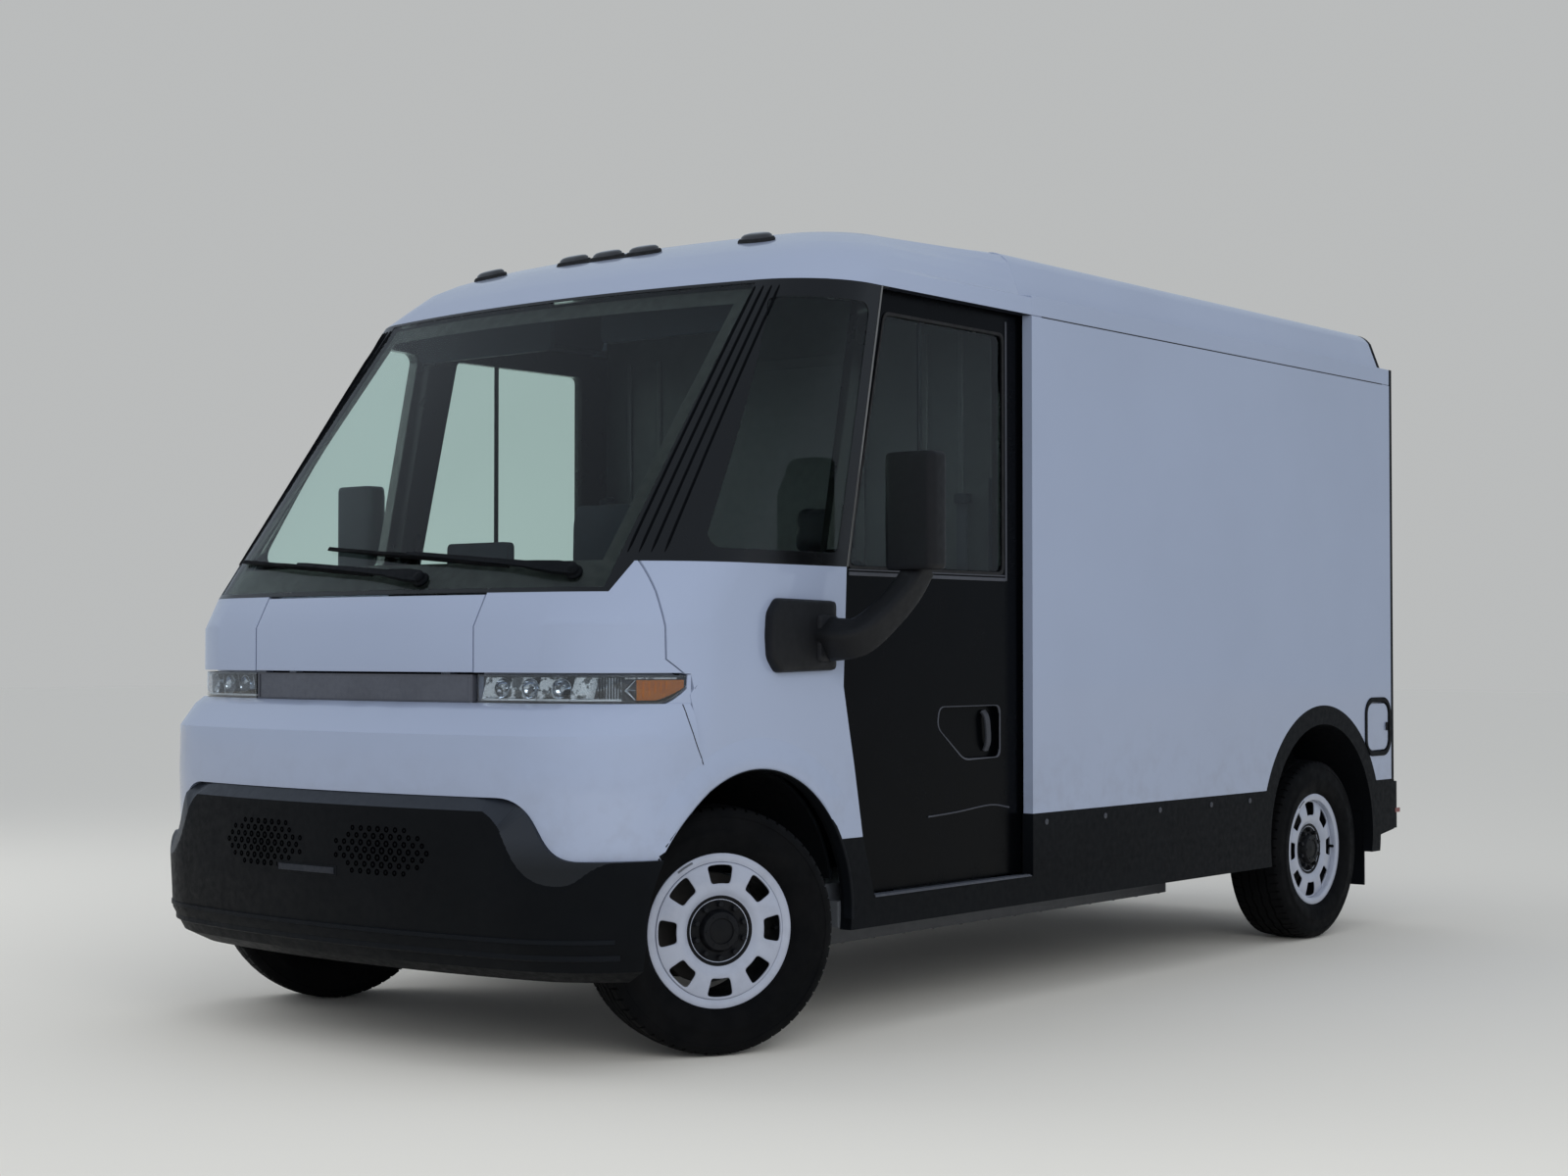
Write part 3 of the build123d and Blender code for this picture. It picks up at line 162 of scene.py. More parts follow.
class Form:
    """One piece's mesh, built up in the row frame from lofts, lathes and tubes."""

    def __init__(self, points=(), faces=()):
        self.points = list(points)
        self.faces = list(faces)

    def loft(self, rows, closed=True, caps=True):
        """A skin through rows of points; closed joins each row's ends, caps fills the end rows."""
        start = len(self.points)
        count = len(rows[0])
        for row in rows:
            self.points += [Vector(point) for point in row]
        for i in range(len(rows) - 1):
            low = start + i * count
            high = low + count
            for j in range(count if closed else count - 1):
                k = (j + 1) % count
                self.faces.append((low + j, low + k, high + k, high + j))
        if caps:
            last = start + (len(rows) - 1) * count
            self.faces.append(tuple(start + j for j in reversed(range(count))))
            self.faces.append(tuple(last + j for j in range(count)))
        return self

    def prism(self, outline, shift):
        """A flat outline swept along shift."""
        return self.loft([outline, [Vector(point) + Vector(shift) for point in outline]])

    def block(self, low, high):
        """A box between two corners."""
        (x0, y0, z0), (x1, y1, z1) = low, high
        return self.prism([(x0, y0, z0), (x1, y0, z0), (x1, y1, z0), (x0, y1, z0)], (0, 0, z1 - z0))

    def slab(self, low, high, radius, axis=1):
        """A box between two corners, round-cornered as seen along the axis."""
        shift = Vector()
        shift[axis] = high[axis] - low[axis]
        return self.prism(rounded_rect(low, high, radius, axis), shift)

    def lathe(self, profile, at=(0, 0, 0), axis=ACROSS, steps=48, caps=False):
        """A surface of revolution: profile is (distance along the axis, radius) pairs."""
        along = Vector(axis).normalized()
        side = along.cross(UP if abs(along.z) < 0.9 else REARWARDS).normalized()
        other = along.cross(side)
        rows = [[Vector(at) + along * reach + (side * a + other * b) * radius for a, b in circle(steps)]
                for reach, radius in profile]
        return self.loft(rows, caps=caps)

    def tube(self, path, radius, sides=12):
        """A round bar along a path; radius is one number or one per point."""
        path = [Vector(point) for point in path]
        radii = radius if isinstance(radius, list) else [radius] * len(path)
        normal = None
        rows = []
        for point, ahead, size in zip(path, headings(path), radii):
            if normal is None:
                normal = ahead.cross(UP if abs(ahead.z) < 0.9 else ACROSS).normalized()
            normal = (normal - ahead * normal.dot(ahead)).normalized()
            other = ahead.cross(normal)
            rows.append([point + (normal * a + other * b) * size for a, b in circle(sides)])
        return self.loft(rows)

    def band(self, path, section, up=UP):
        """A flat section (across, up) swept along a path that stays level to up."""
        rows = []
        for point, ahead in zip(path, headings(path)):
            across = ahead.cross(up).normalized()
            above = across.cross(ahead)
            rows.append([point + across * a + above * b for a, b in section])
        return self.loft(rows)

    def sweep(self, path, sizes, upright, round_off=0.42):
        """A round-cornered bar along a path, with (width, height) at each point."""
        rows = []
        upright = Vector(upright)
        for point, ahead, (width, height) in zip(path, headings(path), sizes):
            high = (upright - ahead * ahead.dot(upright)).normalized()
            wide = ahead.cross(high)
            corners = [point + wide * a * width / 2 + high * b * height / 2
                       for a, b in ((-1, -1), (1, -1), (1, 1), (-1, 1))]
            rows.append(rounded(corners, min(width, height) * round_off, 4))
        return self.loft(rows)

    def join(self, other, matrix=Matrix.Identity(4)):
        """Adds another form, moved by matrix."""
        start = len(self.points)
        flip = matrix.determinant() < 0
        self.points += [matrix @ point for point in other.points]
        for face in other.faces:
            face = tuple(start + index for index in face)
            self.faces.append(face[::-1] if flip else face)
        return self

    def moved(self, matrix):
        """A copy of the form moved by matrix."""
        return Form().join(self, matrix)

    def both_sides(self):
        """The form and its mirror image across the vehicle."""
        return Form().join(self).join(self, MIRROR)

    def mesh(self, name, smooth=SMOOTH_DEGREES):
        """The form as a mesh, kept sharp where its surface turns by more than smooth, in degrees."""
        mesh = bpy.data.meshes.new(name)
        mesh.from_pydata(self.points, [], self.faces)
        work = bmesh.new()
        work.from_mesh(mesh)
        bmesh.ops.remove_doubles(work, verts=work.verts, dist=1e-6)
        bmesh.ops.recalc_face_normals(work, faces=work.faces)
        for face in work.faces:
            face.smooth = True
        for edge in work.edges:
            edge.smooth = len(edge.link_faces) == 2 and edge.calc_face_angle(0.0) < radians(smooth)
        work.to_mesh(mesh)
        work.free()
        return mesh

    def piece(self, name, slot, body="body", replaces=(), material=None, bevel=0.0, smooth=SMOOTH_DEGREES):
        """Turns the form into a scene object that rides on a body of the frame."""
        made = add_object(name, self.mesh(name, smooth))
        made.data.materials.append(material or MATERIALS[slot])
        if bevel:
            soften(made, bevel)
        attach(made, body)
        if replaces:
            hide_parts(*replaces)
        return made

    def pair(self, name, slot, **options):
        """One piece made of the form and its mirror image."""
        return self.both_sides().piece(name, slot, **options)


class Skin:
    """The outside of some CAD nodes, for laying details on it."""

    def __init__(self, *names, shape=Vector):
        self.trees = [tree_of(NODES[name].data, shape) for name in names]

    def hit(self, start, toward):
        """Where a ray first meets the skin, with the skin's normal turned to face it, or None."""
        toward = Vector(toward)
        hits = [tree.ray_cast(Vector(start), toward) for tree in self.trees]
        hits = [hit for hit in hits if hit[0] is not None]
        if not hits:
            return None
        place, normal, _, _ = min(hits, key=lambda hit: hit[3])
        return place, normal if normal.dot(toward) <= 0 else -normal

    def front(self, x, z, lift=0.0):
        """The point of the nose seen at (x, z) from ahead, lifted off the skin."""
        place, normal = self.hit((x, -4.0, z), REARWARDS)
        return place + normal * lift

    def side(self, y, z):
        """The point of the left flank seen at (y, z), with its normal, or None."""
        return self.hit((2.0, y, z), -ACROSS)


# ---------------------------------------------------------------- camera
CAMERA_AT = (5.76, -7.523, 1.241)
CAMERA_AZIMUTH = 39.01
CAMERA_PITCH = 1.45
CAMERA_LENS = 54.87


def add_camera():
    """The camera at the photograph's viewing angle."""
    data = bpy.data.cameras.new("camera")
    data.sensor_width = 36.0
    data.lens = CAMERA_LENS
    camera = add_object("camera", data)
    camera.location = CAMERA_AT
    camera.rotation_euler = (radians(90 + CAMERA_PITCH), 0, radians(CAMERA_AZIMUTH))
    bpy.context.scene.camera = camera


# ---------------------------------------------------------------- materials
def rgb(*channels):
    """An sRGB colour from 0 to 255 as a linear RGBA."""
    values = [channel / 255 for channel in channels]
    return (*(v / 12.92 if v <= 0.04045 else ((v + 0.055) / 1.055) ** 2.4 for v in values), 1.0)


def times(color, factor):
    """A colour made darker or lighter."""
    return (*(channel * factor for channel in color[:3]), 1.0)


class Shader:
    """A Principled material built a socket at a time on object coordinates."""

    def __init__(self, name, color, rough, metallic=0.0, coat=0.0, coat_rough=0.05, gleam=0.5):
        self.material = bpy.data.materials.new(name)
        self.material.use_nodes = True
        self.tree = self.material.node_tree
        self.inputs = self.tree.nodes["Principled BSDF"].inputs
        for socket, value in (("Base Color", color), ("Roughness", rough), ("Metallic", metallic),
                              ("Coat Weight", coat), ("Coat Roughness", coat_rough),
                              ("Specular IOR Level", gleam)):
            self.inputs[socket].default_value = value
        self.color = color
        self.place = self.tree.nodes.new("ShaderNodeTexCoord").outputs["Object"]

    def node(self, kind, **values):
        """A node with its input sockets set or linked by name."""
        made = self.tree.nodes.new("ShaderNode" + kind)
        for key, value in values.items():
            socket = made.inputs[key.replace("_", " ")]
            if isinstance(value, bpy.types.NodeSocket):
                self.tree.links.new(value, socket)
            else:
                socket.default_value = value
        return made

    def noise(self, scale, detail=4.0):
        """A noise value over the surface."""
        return self.node("TexNoise", Scale=scale, Detail=detail, Roughness=0.55,
                         Vector=self.place).outputs["Fac"]

    def cells(self, scale):
        """Voronoi distance, for a moulded grain."""
        return self.node("TexVoronoi", Scale=scale, Vector=self.place).outputs["Distance"]

    def height_above_ground(self):
        """The surface's own height."""
        return self.node("SeparateXYZ", Vector=self.place).outputs["Z"]

    def ramp(self, value, low, high, to_low=0.0, to_high=1.0):
        """value from low..high mapped to to_low..to_high and clamped."""
        return self.node("MapRange", Value=value, From_Min=low, From_Max=high, To_Min=to_low,
                         To_Max=to_high).outputs["Result"]

    def tint(self, fac, other, amount=1.0):
        """Mixes the base colour towards another where fac is high."""
        mix = self.node("Mix")
        mix.data_type = "RGBA"
        mix.inputs[7].default_value = other
        base = self.inputs["Base Color"]
        if base.is_linked:
            self.tree.links.new(base.links[0].from_socket, mix.inputs[6])
        else:
            mix.inputs[6].default_value = self.color
        self.tree.links.new(self.ramp(fac, 0.0, 1.0, 0.0, amount), mix.inputs[0])
        self.tree.links.new(mix.outputs[2], base)

    def mottle(self, scale, detail, low, high, other, amount):
        """Patches of another colour where a noise is high."""
        self.tint(self.ramp(self.noise(scale, detail), low, high), other, amount)

    def edge_wear(self, other, amount=0.6):
        """Lightens convex edges, where hands and grit polish them."""
        self.tint(self.ramp(self.node("NewGeometry").outputs["Pointiness"], 0.52, 0.62), other, amount)

    def roughen(self, scale, detail, low, high):
        """Roughness that a noise runs from low to high."""
        value = self.ramp(self.noise(scale, detail), 0.3, 0.7, low, high)
        self.tree.links.new(value, self.inputs["Roughness"])

    def bump(self, height, strength, distance):
        """Small relief from a value."""
        made = self.node("Bump", Strength=strength, Distance=distance, Height=height)
        self.tree.links.new(made.outputs["Normal"], self.inputs["Normal"])


def white_paint(name="white_paint", color=rgb(147, 159, 184)):
    """Gloss body paint: faint orange peel under a clear coat, and a film of road dust low down. Its bluish grey,
    darker than white, is painted shade standing in for the shade the white van stands in.
    """
    s = Shader(name, color, 0.38, coat=0.85, coat_rough=0.06)
    s.mottle(1.1, 3.0, 0.35, 0.7, times(color, 0.9), 0.5)
    dust = s.node("Math")
    dust.operation = "MULTIPLY"
    s.tree.links.new(s.ramp(s.height_above_ground(), 1.0, 0.6), dust.inputs[0])
    s.tree.links.new(s.ramp(s.noise(14.0, 6.0), 0.45, 0.75), dust.inputs[1])
    s.tint(dust.outputs["Value"], rgb(120, 126, 138), 0.35)
    s.roughen(3.0, 2.0, 0.32, 0.42)
    s.bump(s.noise(420.0, 1.0), 0.05, 0.001)
    return s.material


def black_gloss(name="black_gloss", gleam=0.06):
    """Gloss black cab trim."""
    s = Shader(name, rgb(3, 4, 6), 0.22, gleam=gleam)
    s.mottle(2.2, 4.0, 0.4, 0.7, rgb(5, 6, 9), 0.6)
    s.roughen(9.0, 4.0, 0.18, 0.3)
    return s.material


def black_plastic(name="black_plastic", color=rgb(9, 11, 14), grain=900.0, gleam=0.07):
    """Moulded plastic with a pebble grain, greyed on its edges."""
    s = Shader(name, color, 0.5, gleam=gleam)
    s.mottle(5.0, 5.0, 0.35, 0.75, times(color, 1.4), 0.7)
    s.edge_wear(times(color, 3.0))
    s.roughen(40.0, 4.0, 0.42, 0.6)
    s.bump(s.cells(grain), 0.3, 0.0005)
    return s.material


def glass(name, color, gloss=1.0):
    """Thin safety glass: clear and tinted, its gloss carried by a coat so that it doesn't bend the view."""
    s = Shader(name, color, 0.0, coat=gloss, coat_rough=0.0)
    s.inputs["Transmission Weight"].default_value = 1.0
    s.inputs["IOR"].default_value = 1.02
    s.mottle(0.8, 2.0, 0.35, 0.75, times(color, 0.9), 0.6)
    return s.material


def metal(name, color, rough):
    """A metal with smears in its polish."""
    s = Shader(name, color, rough, metallic=1.0)
    s.mottle(6.0, 5.0, 0.4, 0.75, times(color, 0.72), 0.5)
    s.roughen(60.0, 5.0, rough * 0.8, min(1.0, rough * 1.3))
    return s.material


def painted_reflection_chrome():
    """Bright-plated lamp bowls, with dark patches painted into their colour: painted reflections of dark
    surroundings.
    """
    s = Shader("chrome_painted_reflections", rgb(196, 202, 210), 0.12, metallic=1.0)
    # Painted reflections: small dark patches mixed into the plating's colour.
    s.mottle(31.0, 3.0, 0.47, 0.55, rgb(38, 41, 46), 0.85)
    s.roughen(60.0, 5.0, 0.08, 0.16)
    return s.material


def painted(name, color, rough=0.5, speck=160.0, wear=rgb(110, 112, 116)):
    """Coated steel or trim with light mottling and rubbed edges."""
    s = Shader(name, color, rough)
    s.mottle(7.0, 6.0, 0.35, 0.7, times(color, 0.7), 0.6)
    s.edge_wear(wear, 0.35)
    s.roughen(30.0, 4.0, rough * 0.85, min(1.0, rough * 1.2))
    s.bump(s.noise(speck, 3.0), 0.12, 0.0008)
    return s.material


def rubber():
    """Tyre rubber: dull, with lighter dusty patches and a fine moulded texture."""
    s = Shader("tyre_rubber", rgb(8, 9, 11), 0.72, gleam=0.08)
    s.mottle(9.0, 7.0, 0.4, 0.72, rgb(15, 15, 16), 0.8)
    s.roughen(22.0, 6.0, 0.6, 0.85)
    s.bump(s.noise(500.0, 3.0), 0.25, 0.0006)
    return s.material


def lens(name, color, clearness=0.6):
    """A coloured lamp lens."""
    s = Shader(name, color, 0.08, coat=0.5)
    s.inputs["Transmission Weight"].default_value = clearness
    s.tint(s.ramp(s.cells(160.0), 0.1, 0.6), times(color, 0.6), 0.5)
    return s.material


def bumper_painted_sheen():
    """The bumper's smooth upper bevel: its lighter blue-grey colour is a painted sky reflection, and it darkens
    towards its foot by painted shade.
    """
    # Painted sky reflection: a lighter, bluish base colour than the rest of the bumper.
    s = Shader("bumper_painted_sheen", rgb(27, 32, 40), 0.45, gleam=0.45)
    s.mottle(5.0, 5.0, 0.35, 0.75, rgb(33, 38, 47), 0.6)
    # Painted shade: darker towards the bevel's foot.
    s.tint(s.ramp(s.height_above_ground(), 0.69, 0.6), rgb(4, 5, 7))
    s.roughen(40.0, 4.0, 0.4, 0.52)
    s.bump(s.cells(500.0), 0.2, 0.0004)
    return s.material


MATERIALS = {
    # The white body and wheel paints are coloured a darker bluish grey: painted shade.
    "white_paint": white_paint(),
    "white_wheel": white_paint("white_wheel", rgb(156, 163, 180)),
    "black_gloss": black_gloss(),
    "black_plastic": black_plastic(),
    "window_glass": glass("window_glass", rgb(217, 247, 241), 0.55),
    "lamp_glass": glass("lamp_glass", rgb(232, 238, 242)),
    "smoked_lens": lens("smoked_lens", rgb(38, 38, 42), 0.3),
    "red_lens": lens("red_lens", rgb(150, 18, 20)),
    "satin_silver": metal("satin_silver", rgb(112, 114, 122), 0.42),
    "tyre_rubber": rubber(),
    "chassis_black": painted("chassis_black", rgb(22, 23, 25), 0.6, wear=rgb(60, 60, 62)),
    "battery_case": painted("battery_case", rgb(62, 64, 68), 0.45),
    "floor_grey": painted("floor_grey", rgb(72, 76, 82), 0.6),
    "cab_trim": black_plastic("cab_trim", rgb(24, 27, 33), 600.0),
    "seat_fabric": black_plastic("seat_fabric", rgb(34, 35, 40), 420.0),
}
AMBER = lens("amber", rgb(214, 120, 20), 0.35)
PAINTED_REFLECTION_CHROME = painted_reflection_chrome()
MIRROR_SHELL = black_plastic("mirror_shell", rgb(14, 15, 18), 700.0, 0.25)
MIRROR_SILVER = metal("mirror_silver", rgb(186, 196, 204), 0.03)
DARK_HOUSING = black_plastic("dark_housing", rgb(46, 48, 54), 700.0, 0.4)
BLACK_RUBBER = painted("seal_rubber", rgb(15, 15, 17), 0.75, speck=300.0, wear=rgb(34, 34, 36))
HUB_BLACK = black_plastic("hub_black", rgb(9, 10, 13), 300.0, 0.2)
# Near black and without gloss: painted shade for the dark insides of holes.
HOLE_PAINTED_SHADE = Shader("vent_hole_painted_shade", rgb(2, 2, 3), 0.95, gleam=0.0).material
DUSTY_IRON = painted("dusty_iron", rgb(44, 42, 41), 0.7)
DULL_METAL = metal("dull_metal", rgb(64, 66, 72), 0.5)
STEEL = metal("steel", rgb(120, 116, 112), 0.38)
METAL_TRIM = metal("metal_trim", rgb(150, 146, 140), 0.35)
CAB_GREY = painted("cab_grey", rgb(31, 34, 39), 0.55)
CLEAR_INSIDE = glass("window_inside", rgb(255, 255, 255), 0.0)
WHITE_LENS = lens("white_lens", rgb(190, 195, 200), 0.6)
GUIDE = painted("light_guide", rgb(208, 214, 222), 0.25, wear=rgb(230, 232, 236))


# ---------------------------------------------------------------- CAD nodes
NODE_EDGE = 0.0025
ARCH_Y = -1.895
ARCH_Z = 0.403
CAB_MIDDLE = Vector((0, -0.9, 1.9))

# Looks that differ from the slot's own: whole nodes, and faces that turn towards the cab.
FINISH = {"bulkhead": CAB_GREY, "cab_frame": black_gloss("frame_gloss", 0.4)}
INNER = {"window_glass": CLEAR_INSIDE, "roof_front_cap": MATERIALS["cab_trim"]}


def in_cab(polygon):
    """Whether a face looks into the cab."""
    return polygon.normal.dot((CAB_MIDDLE - polygon.center).normalized()) > 0.25


def in_arch(polygon):
    """Whether a face belongs to the black lining of the wheel arch."""
    _, y, z = polygon.center
    reach = Vector((0, y - ARCH_Y, z - ARCH_Z)).length
    return reach < 0.473 or (z < 0.9 and abs(polygon.normal.x) < 0.5 and y > -2.2 and reach < 0.52)


def second_material(mesh, material, chosen):
    """Gives the chosen faces of a mesh another material."""
    mesh.materials.append(material)
    for polygon in mesh.polygons:
        polygon.material_index = 1 if chosen(polygon) else 0


def dress_nodes():
    """Gives every CAD node its slot's material, smooth faces and softened edges."""
    for row in frame["record"]["subparts"]:
        name, slot = row["node"], row["material_slot"]
        node = NODES[name]
        mesh = node.data
        mesh.materials.clear()
        mesh.materials.append(FINISH.get(name, MATERIALS[slot]))
        inner = INNER.get(slot, INNER.get(name))
        if inner:
            second_material(mesh, inner, in_cab)
        if name in ("fenders", "front_fascia"):
            second_material(mesh, MATERIALS["black_plastic"], in_arch)
        mesh.polygons.foreach_set("use_smooth", [True] * len(mesh.polygons))
        if slot != "window_glass":
            modify(node, "WELD", merge_threshold=WELD_DISTANCE)
            soften(node, NODE_EDGE)
            modify(node, "WEIGHTED_NORMAL", mode="FACE_AREA", weight=90, keep_sharp=True)


# ---------------------------------------------------------------- wheels and tyres
TYRE_R = 0.381
RIM_HALF = 0.0915
PITCHES = 62
FRONT_STEP = 0.018
REAR_DISH = 0.04
WEIGHT_ANGLE = 2.1
WEIGHT_HALF_ANGLE = radians(7)
PLAIN, SHOULDER, GROOVE_EDGE = range(3)
SIDEWALL = ((RIM_HALF, 0.237), (0.0995, 0.2385), (0.104, 0.245), (0.1062, 0.2462), (0.113, 0.26),
            (0.119, 0.279), (0.1215, 0.296), (0.1222, 0.306), (0.1198, 0.3095), (0.1202, 0.33),
            (0.117, 0.346), (0.1185, 0.3475), (0.115, 0.3585), (0.1085, 0.368))
GROOVES = ((-0.062, -0.052), (-0.0235, -0.0155), (0.0155, 0.0235), (0.052, 0.062))
GROOVE_DEPTH = 0.0085
SLOT_DEPTH = 0.0075
SWING = 0.0025


def tyre_form():
    """A van tyre: ribbed crown with zigzag grooves, shoulder blocks and a stepped sidewall."""
    def crown(x):
        return TYRE_R - 0.55 * x * x

    outer = [(x, r, PLAIN) for x, r in SIDEWALL] + [(x, crown(x), SHOULDER) for x in (0.101, 0.096)]
    rows = [(-x, r, kind) for x, r, kind in outer]
    for low, high in GROOVES:
        for x, sunk in ((low, 0), (low + 0.0012, 1), (high - 0.0012, 1), (high, 0)):
            rows.append((x, crown(x) - sunk * GROOVE_DEPTH, PLAIN if sunk else GROOVE_EDGE))
    rings = []
    for x, radius, kind in rows + outer[::-1]:
        ring = []
        for j in range(PITCHES):
            swing = copysign(SWING, j % 2 - 0.5) if kind == GROOVE_EDGE else 0.0
            for step, cut in ((0.0, False), (0.8, False), (0.84, True), (0.96, True)):
                reach = radius - (SLOT_DEPTH if cut and kind == SHOULDER else 0.0)
                angle = 2 * pi * (j + step + (0.35 if x > 0 else 0.0)) / PITCHES
                ring.append((x + swing, reach * cos(angle), reach * sin(angle)))
        rings.append(ring)
    return Form().loft(rings, caps=False)


def hub_form(face):
    """The black hub: flange, ten wheel nuts, stepped cap and six small screws."""
    form = Form().lathe([(face + x, r) for x, r in (
        (-0.03, 0.066), (-0.02, 0.117), (-0.002, 0.1215), (0.004, 0.1175), (0.005, 0.103), (0.001, 0.096),
        (0.001, 0.066), (0.012, 0.062), (0.02, 0.057), (0.022, 0.04), (0.018, 0.037), (0.02, 0.02),
        (0.021, 0.0005))], steps=72)
    for y, z in circle(10, 0.081, pi / 10):
        form.lathe([(0.0, 0.0118), (0.0035, 0.0118), (0.0035, 0.0092), (0.014, 0.0092), (0.0165, 0.007)],
                   (face + 0.0005, y, z), steps=6, caps=True)
    for y, z in circle(6, 0.047):
        form.lathe([(0.0, 0.0042), (0.003, 0.0042), (0.0038, 0.003)], (face + 0.02, y, z), steps=8,
                   caps=True)
    return form


WINDOWS = 8
WINDOW_ANGLES = (-22.5, -17.0, -11.8, -6.0, 0.0, 6.0, 11.8, 17.0)
DISC = ((0.05, 0.014), (0.098, 0.014), (0.112, 0.02), (0.124, 0.0285), (0.146, 0.0305), (0.165, 0.03),
        (0.184, 0.0275), (0.201, 0.024), (0.2055, 0.0222), (0.2085, 0.0215))


def disc_form(face):
    """The pressed disc of a steel wheel with its ring of windows left open."""
    angles = [radians(degrees + 45.0 * window) for window in range(WINDOWS) for degrees in WINDOW_ANGLES]
    count = len(angles)
    points = [Vector((face + reach, radius * sin(angle), radius * cos(angle)))
              for radius, reach in DISC for angle in angles]
    faces = []
    for i in range(len(DISC) - 1):
        for j in range(count):
            if not (4 <= i <= 6 and 2 <= j % len(WINDOW_ANGLES) <= 5):
                k = (j + 1) % count
                faces.append((i * count + j, i * count + k, (i + 1) * count + k, (i + 1) * count + j))
    return Form(points, faces)


def barrel_form(face):
    """The rim's barrel, bead seats and rolled outer lip."""
    return Form().lathe([(-0.1, 0.235), (-0.092, 0.235), (-0.092, 0.2185), (-0.085, 0.215),
                         (0.085, 0.215), (0.092, 0.2185), (0.092, 0.2325), (0.095, 0.2362),
                         (0.0985, 0.2362), (0.1005, 0.233), (0.099, 0.218), (0.0965, 0.2105),
                         (0.093, 0.2085), (face + 0.024, 0.208), (-0.095, 0.2075), (-0.1, 0.211),
                         (-0.1, 0.235)], steps=96)


def shade_sleeve_form(face):
    """A black sleeve inside the barrel: painted shade for the barrel's shadowed inside, seen through the wheel's
    windows.
    """
    return Form().lathe([(-0.094, 0.2069), (face + 0.014, 0.2074), (face + 0.014, 0.2062), (-0.094, 0.2057),
                         (-0.094, 0.2069)], steps=64)


def valve_form():
    """A rubber valve."""
    path = curve([(RIM_HALF + x, y, 0.0) for x, y in ((-0.02, 0.186), (-0.006, 0.19), (0.004, 0.188))], 4)
    return Form().tube(path, [0.006] * 8 + [0.0045])


def arc_bar(start, low, high, steps, section):
    """A bar bent round the axle: section is (distance along the axle, radius) pairs."""
    return Form().loft([[(start + x, r * cos(angle), r * sin(angle)) for x, r in section]
                        for angle in spread(low, high, steps)])


def brake_form(inner):
    """The brake disc and its hat, seen through the wheel's windows."""
    return Form().lathe([(inner + x, r) for x, r in (
        (0.0, 0.085), (0.0, 0.168), (0.01, 0.168), (0.01, 0.171), (0.022, 0.171), (0.022, 0.168),
        (0.032, 0.168), (0.032, 0.098), (0.06, 0.092), (0.06, 0.064))], steps=72)


def add_wheel(corner):
    """One wheel with its tyre, hub and brake, placed on its axle with +X outwards."""
    joint = JOINTS[f"spin_{corner}"]
    out = Vector(joint["axis"]).normalized() * (-1 if corner.endswith("right") else 1)
    turn = Matrix((out, UP.cross(out), UP)).transposed().to_4x4()
    place = Matrix.Translation(Vector(joint["pos_m"])) @ turn
    face = RIM_HALF - (FRONT_STEP if corner.startswith("front") else REAR_DISH)
    wheel = f"wheel_{corner}"

    def put(form, name, slot, body=wheel, **more):
        return form.moved(place).piece(name, slot, body, **more)

    put(tyre_form(), f"tyre_{corner}_tread", "tyre_rubber", replaces=[f"tyre_{corner}"], smooth=40)
    disc = put(disc_form(face), f"disc_{corner}", "white_wheel", replaces=[wheel], smooth=180)
    modify(disc, "SOLIDIFY", thickness=0.0075, offset=0.0)
    modify(disc, "SUBSURF", levels=2, render_levels=2)
    put(barrel_form(face), f"rim_{corner}", "white_wheel", smooth=40)
    # A black sleeve as painted shade inside the white barrel.
    put(shade_sleeve_form(face), f"barrel_{corner}", "chassis_black", material=HUB_BLACK)
    put(hub_form(face + 0.018), f"hub_{corner}", "chassis_black", material=HUB_BLACK)
    put(valve_form(), f"valve_{corner}", "tyre_rubber")
    weight = arc_bar(RIM_HALF + 0.002, WEIGHT_ANGLE - WEIGHT_HALF_ANGLE, WEIGHT_ANGLE + WEIGHT_HALF_ANGLE, 6,
                     ((0.0, 0.224), (0.0075, 0.224), (0.0075, 0.231), (0.0, 0.233)))
    put(weight, f"weight_{corner}", "satin_silver", bevel=0.001)
    put(brake_form(face - 0.105), f"brake_disc_{corner}", "chassis_black", material=DUSTY_IRON)
    caliper = arc_bar(face - 0.105, radians(-24), radians(24), 8,
                      ((-0.045, 0.12), (0.01, 0.118), (0.05, 0.118), (0.056, 0.13), (0.056, 0.176),
                       (0.046, 0.188), (-0.03, 0.19), (-0.045, 0.18)))
    holder = corner.replace("front", "knuckle") if corner.startswith("front") else "body"
    put(caliper, f"caliper_{corner}", "chassis_black", holder, bevel=0.004)


for corner in ("front_left", "front_right", "rear_left", "rear_right"):
    add_wheel(corner)


# ---------------------------------------------------------------- lamps and the bar between them
NOSE_BOW = 4.15
NOSE_CORNER = 0.43
CORNER_X = 1.1 - NOSE_CORNER
BOW_LENGTH = NOSE_BOW * asin(CORNER_X / (NOSE_BOW - NOSE_CORNER))
LAMP_FRONT_Y = -2.556
LAMP_LOW = 1.078
LAMP_TOP = 1.163
LAMP_START = 0.523
LAMP_END = 1.212


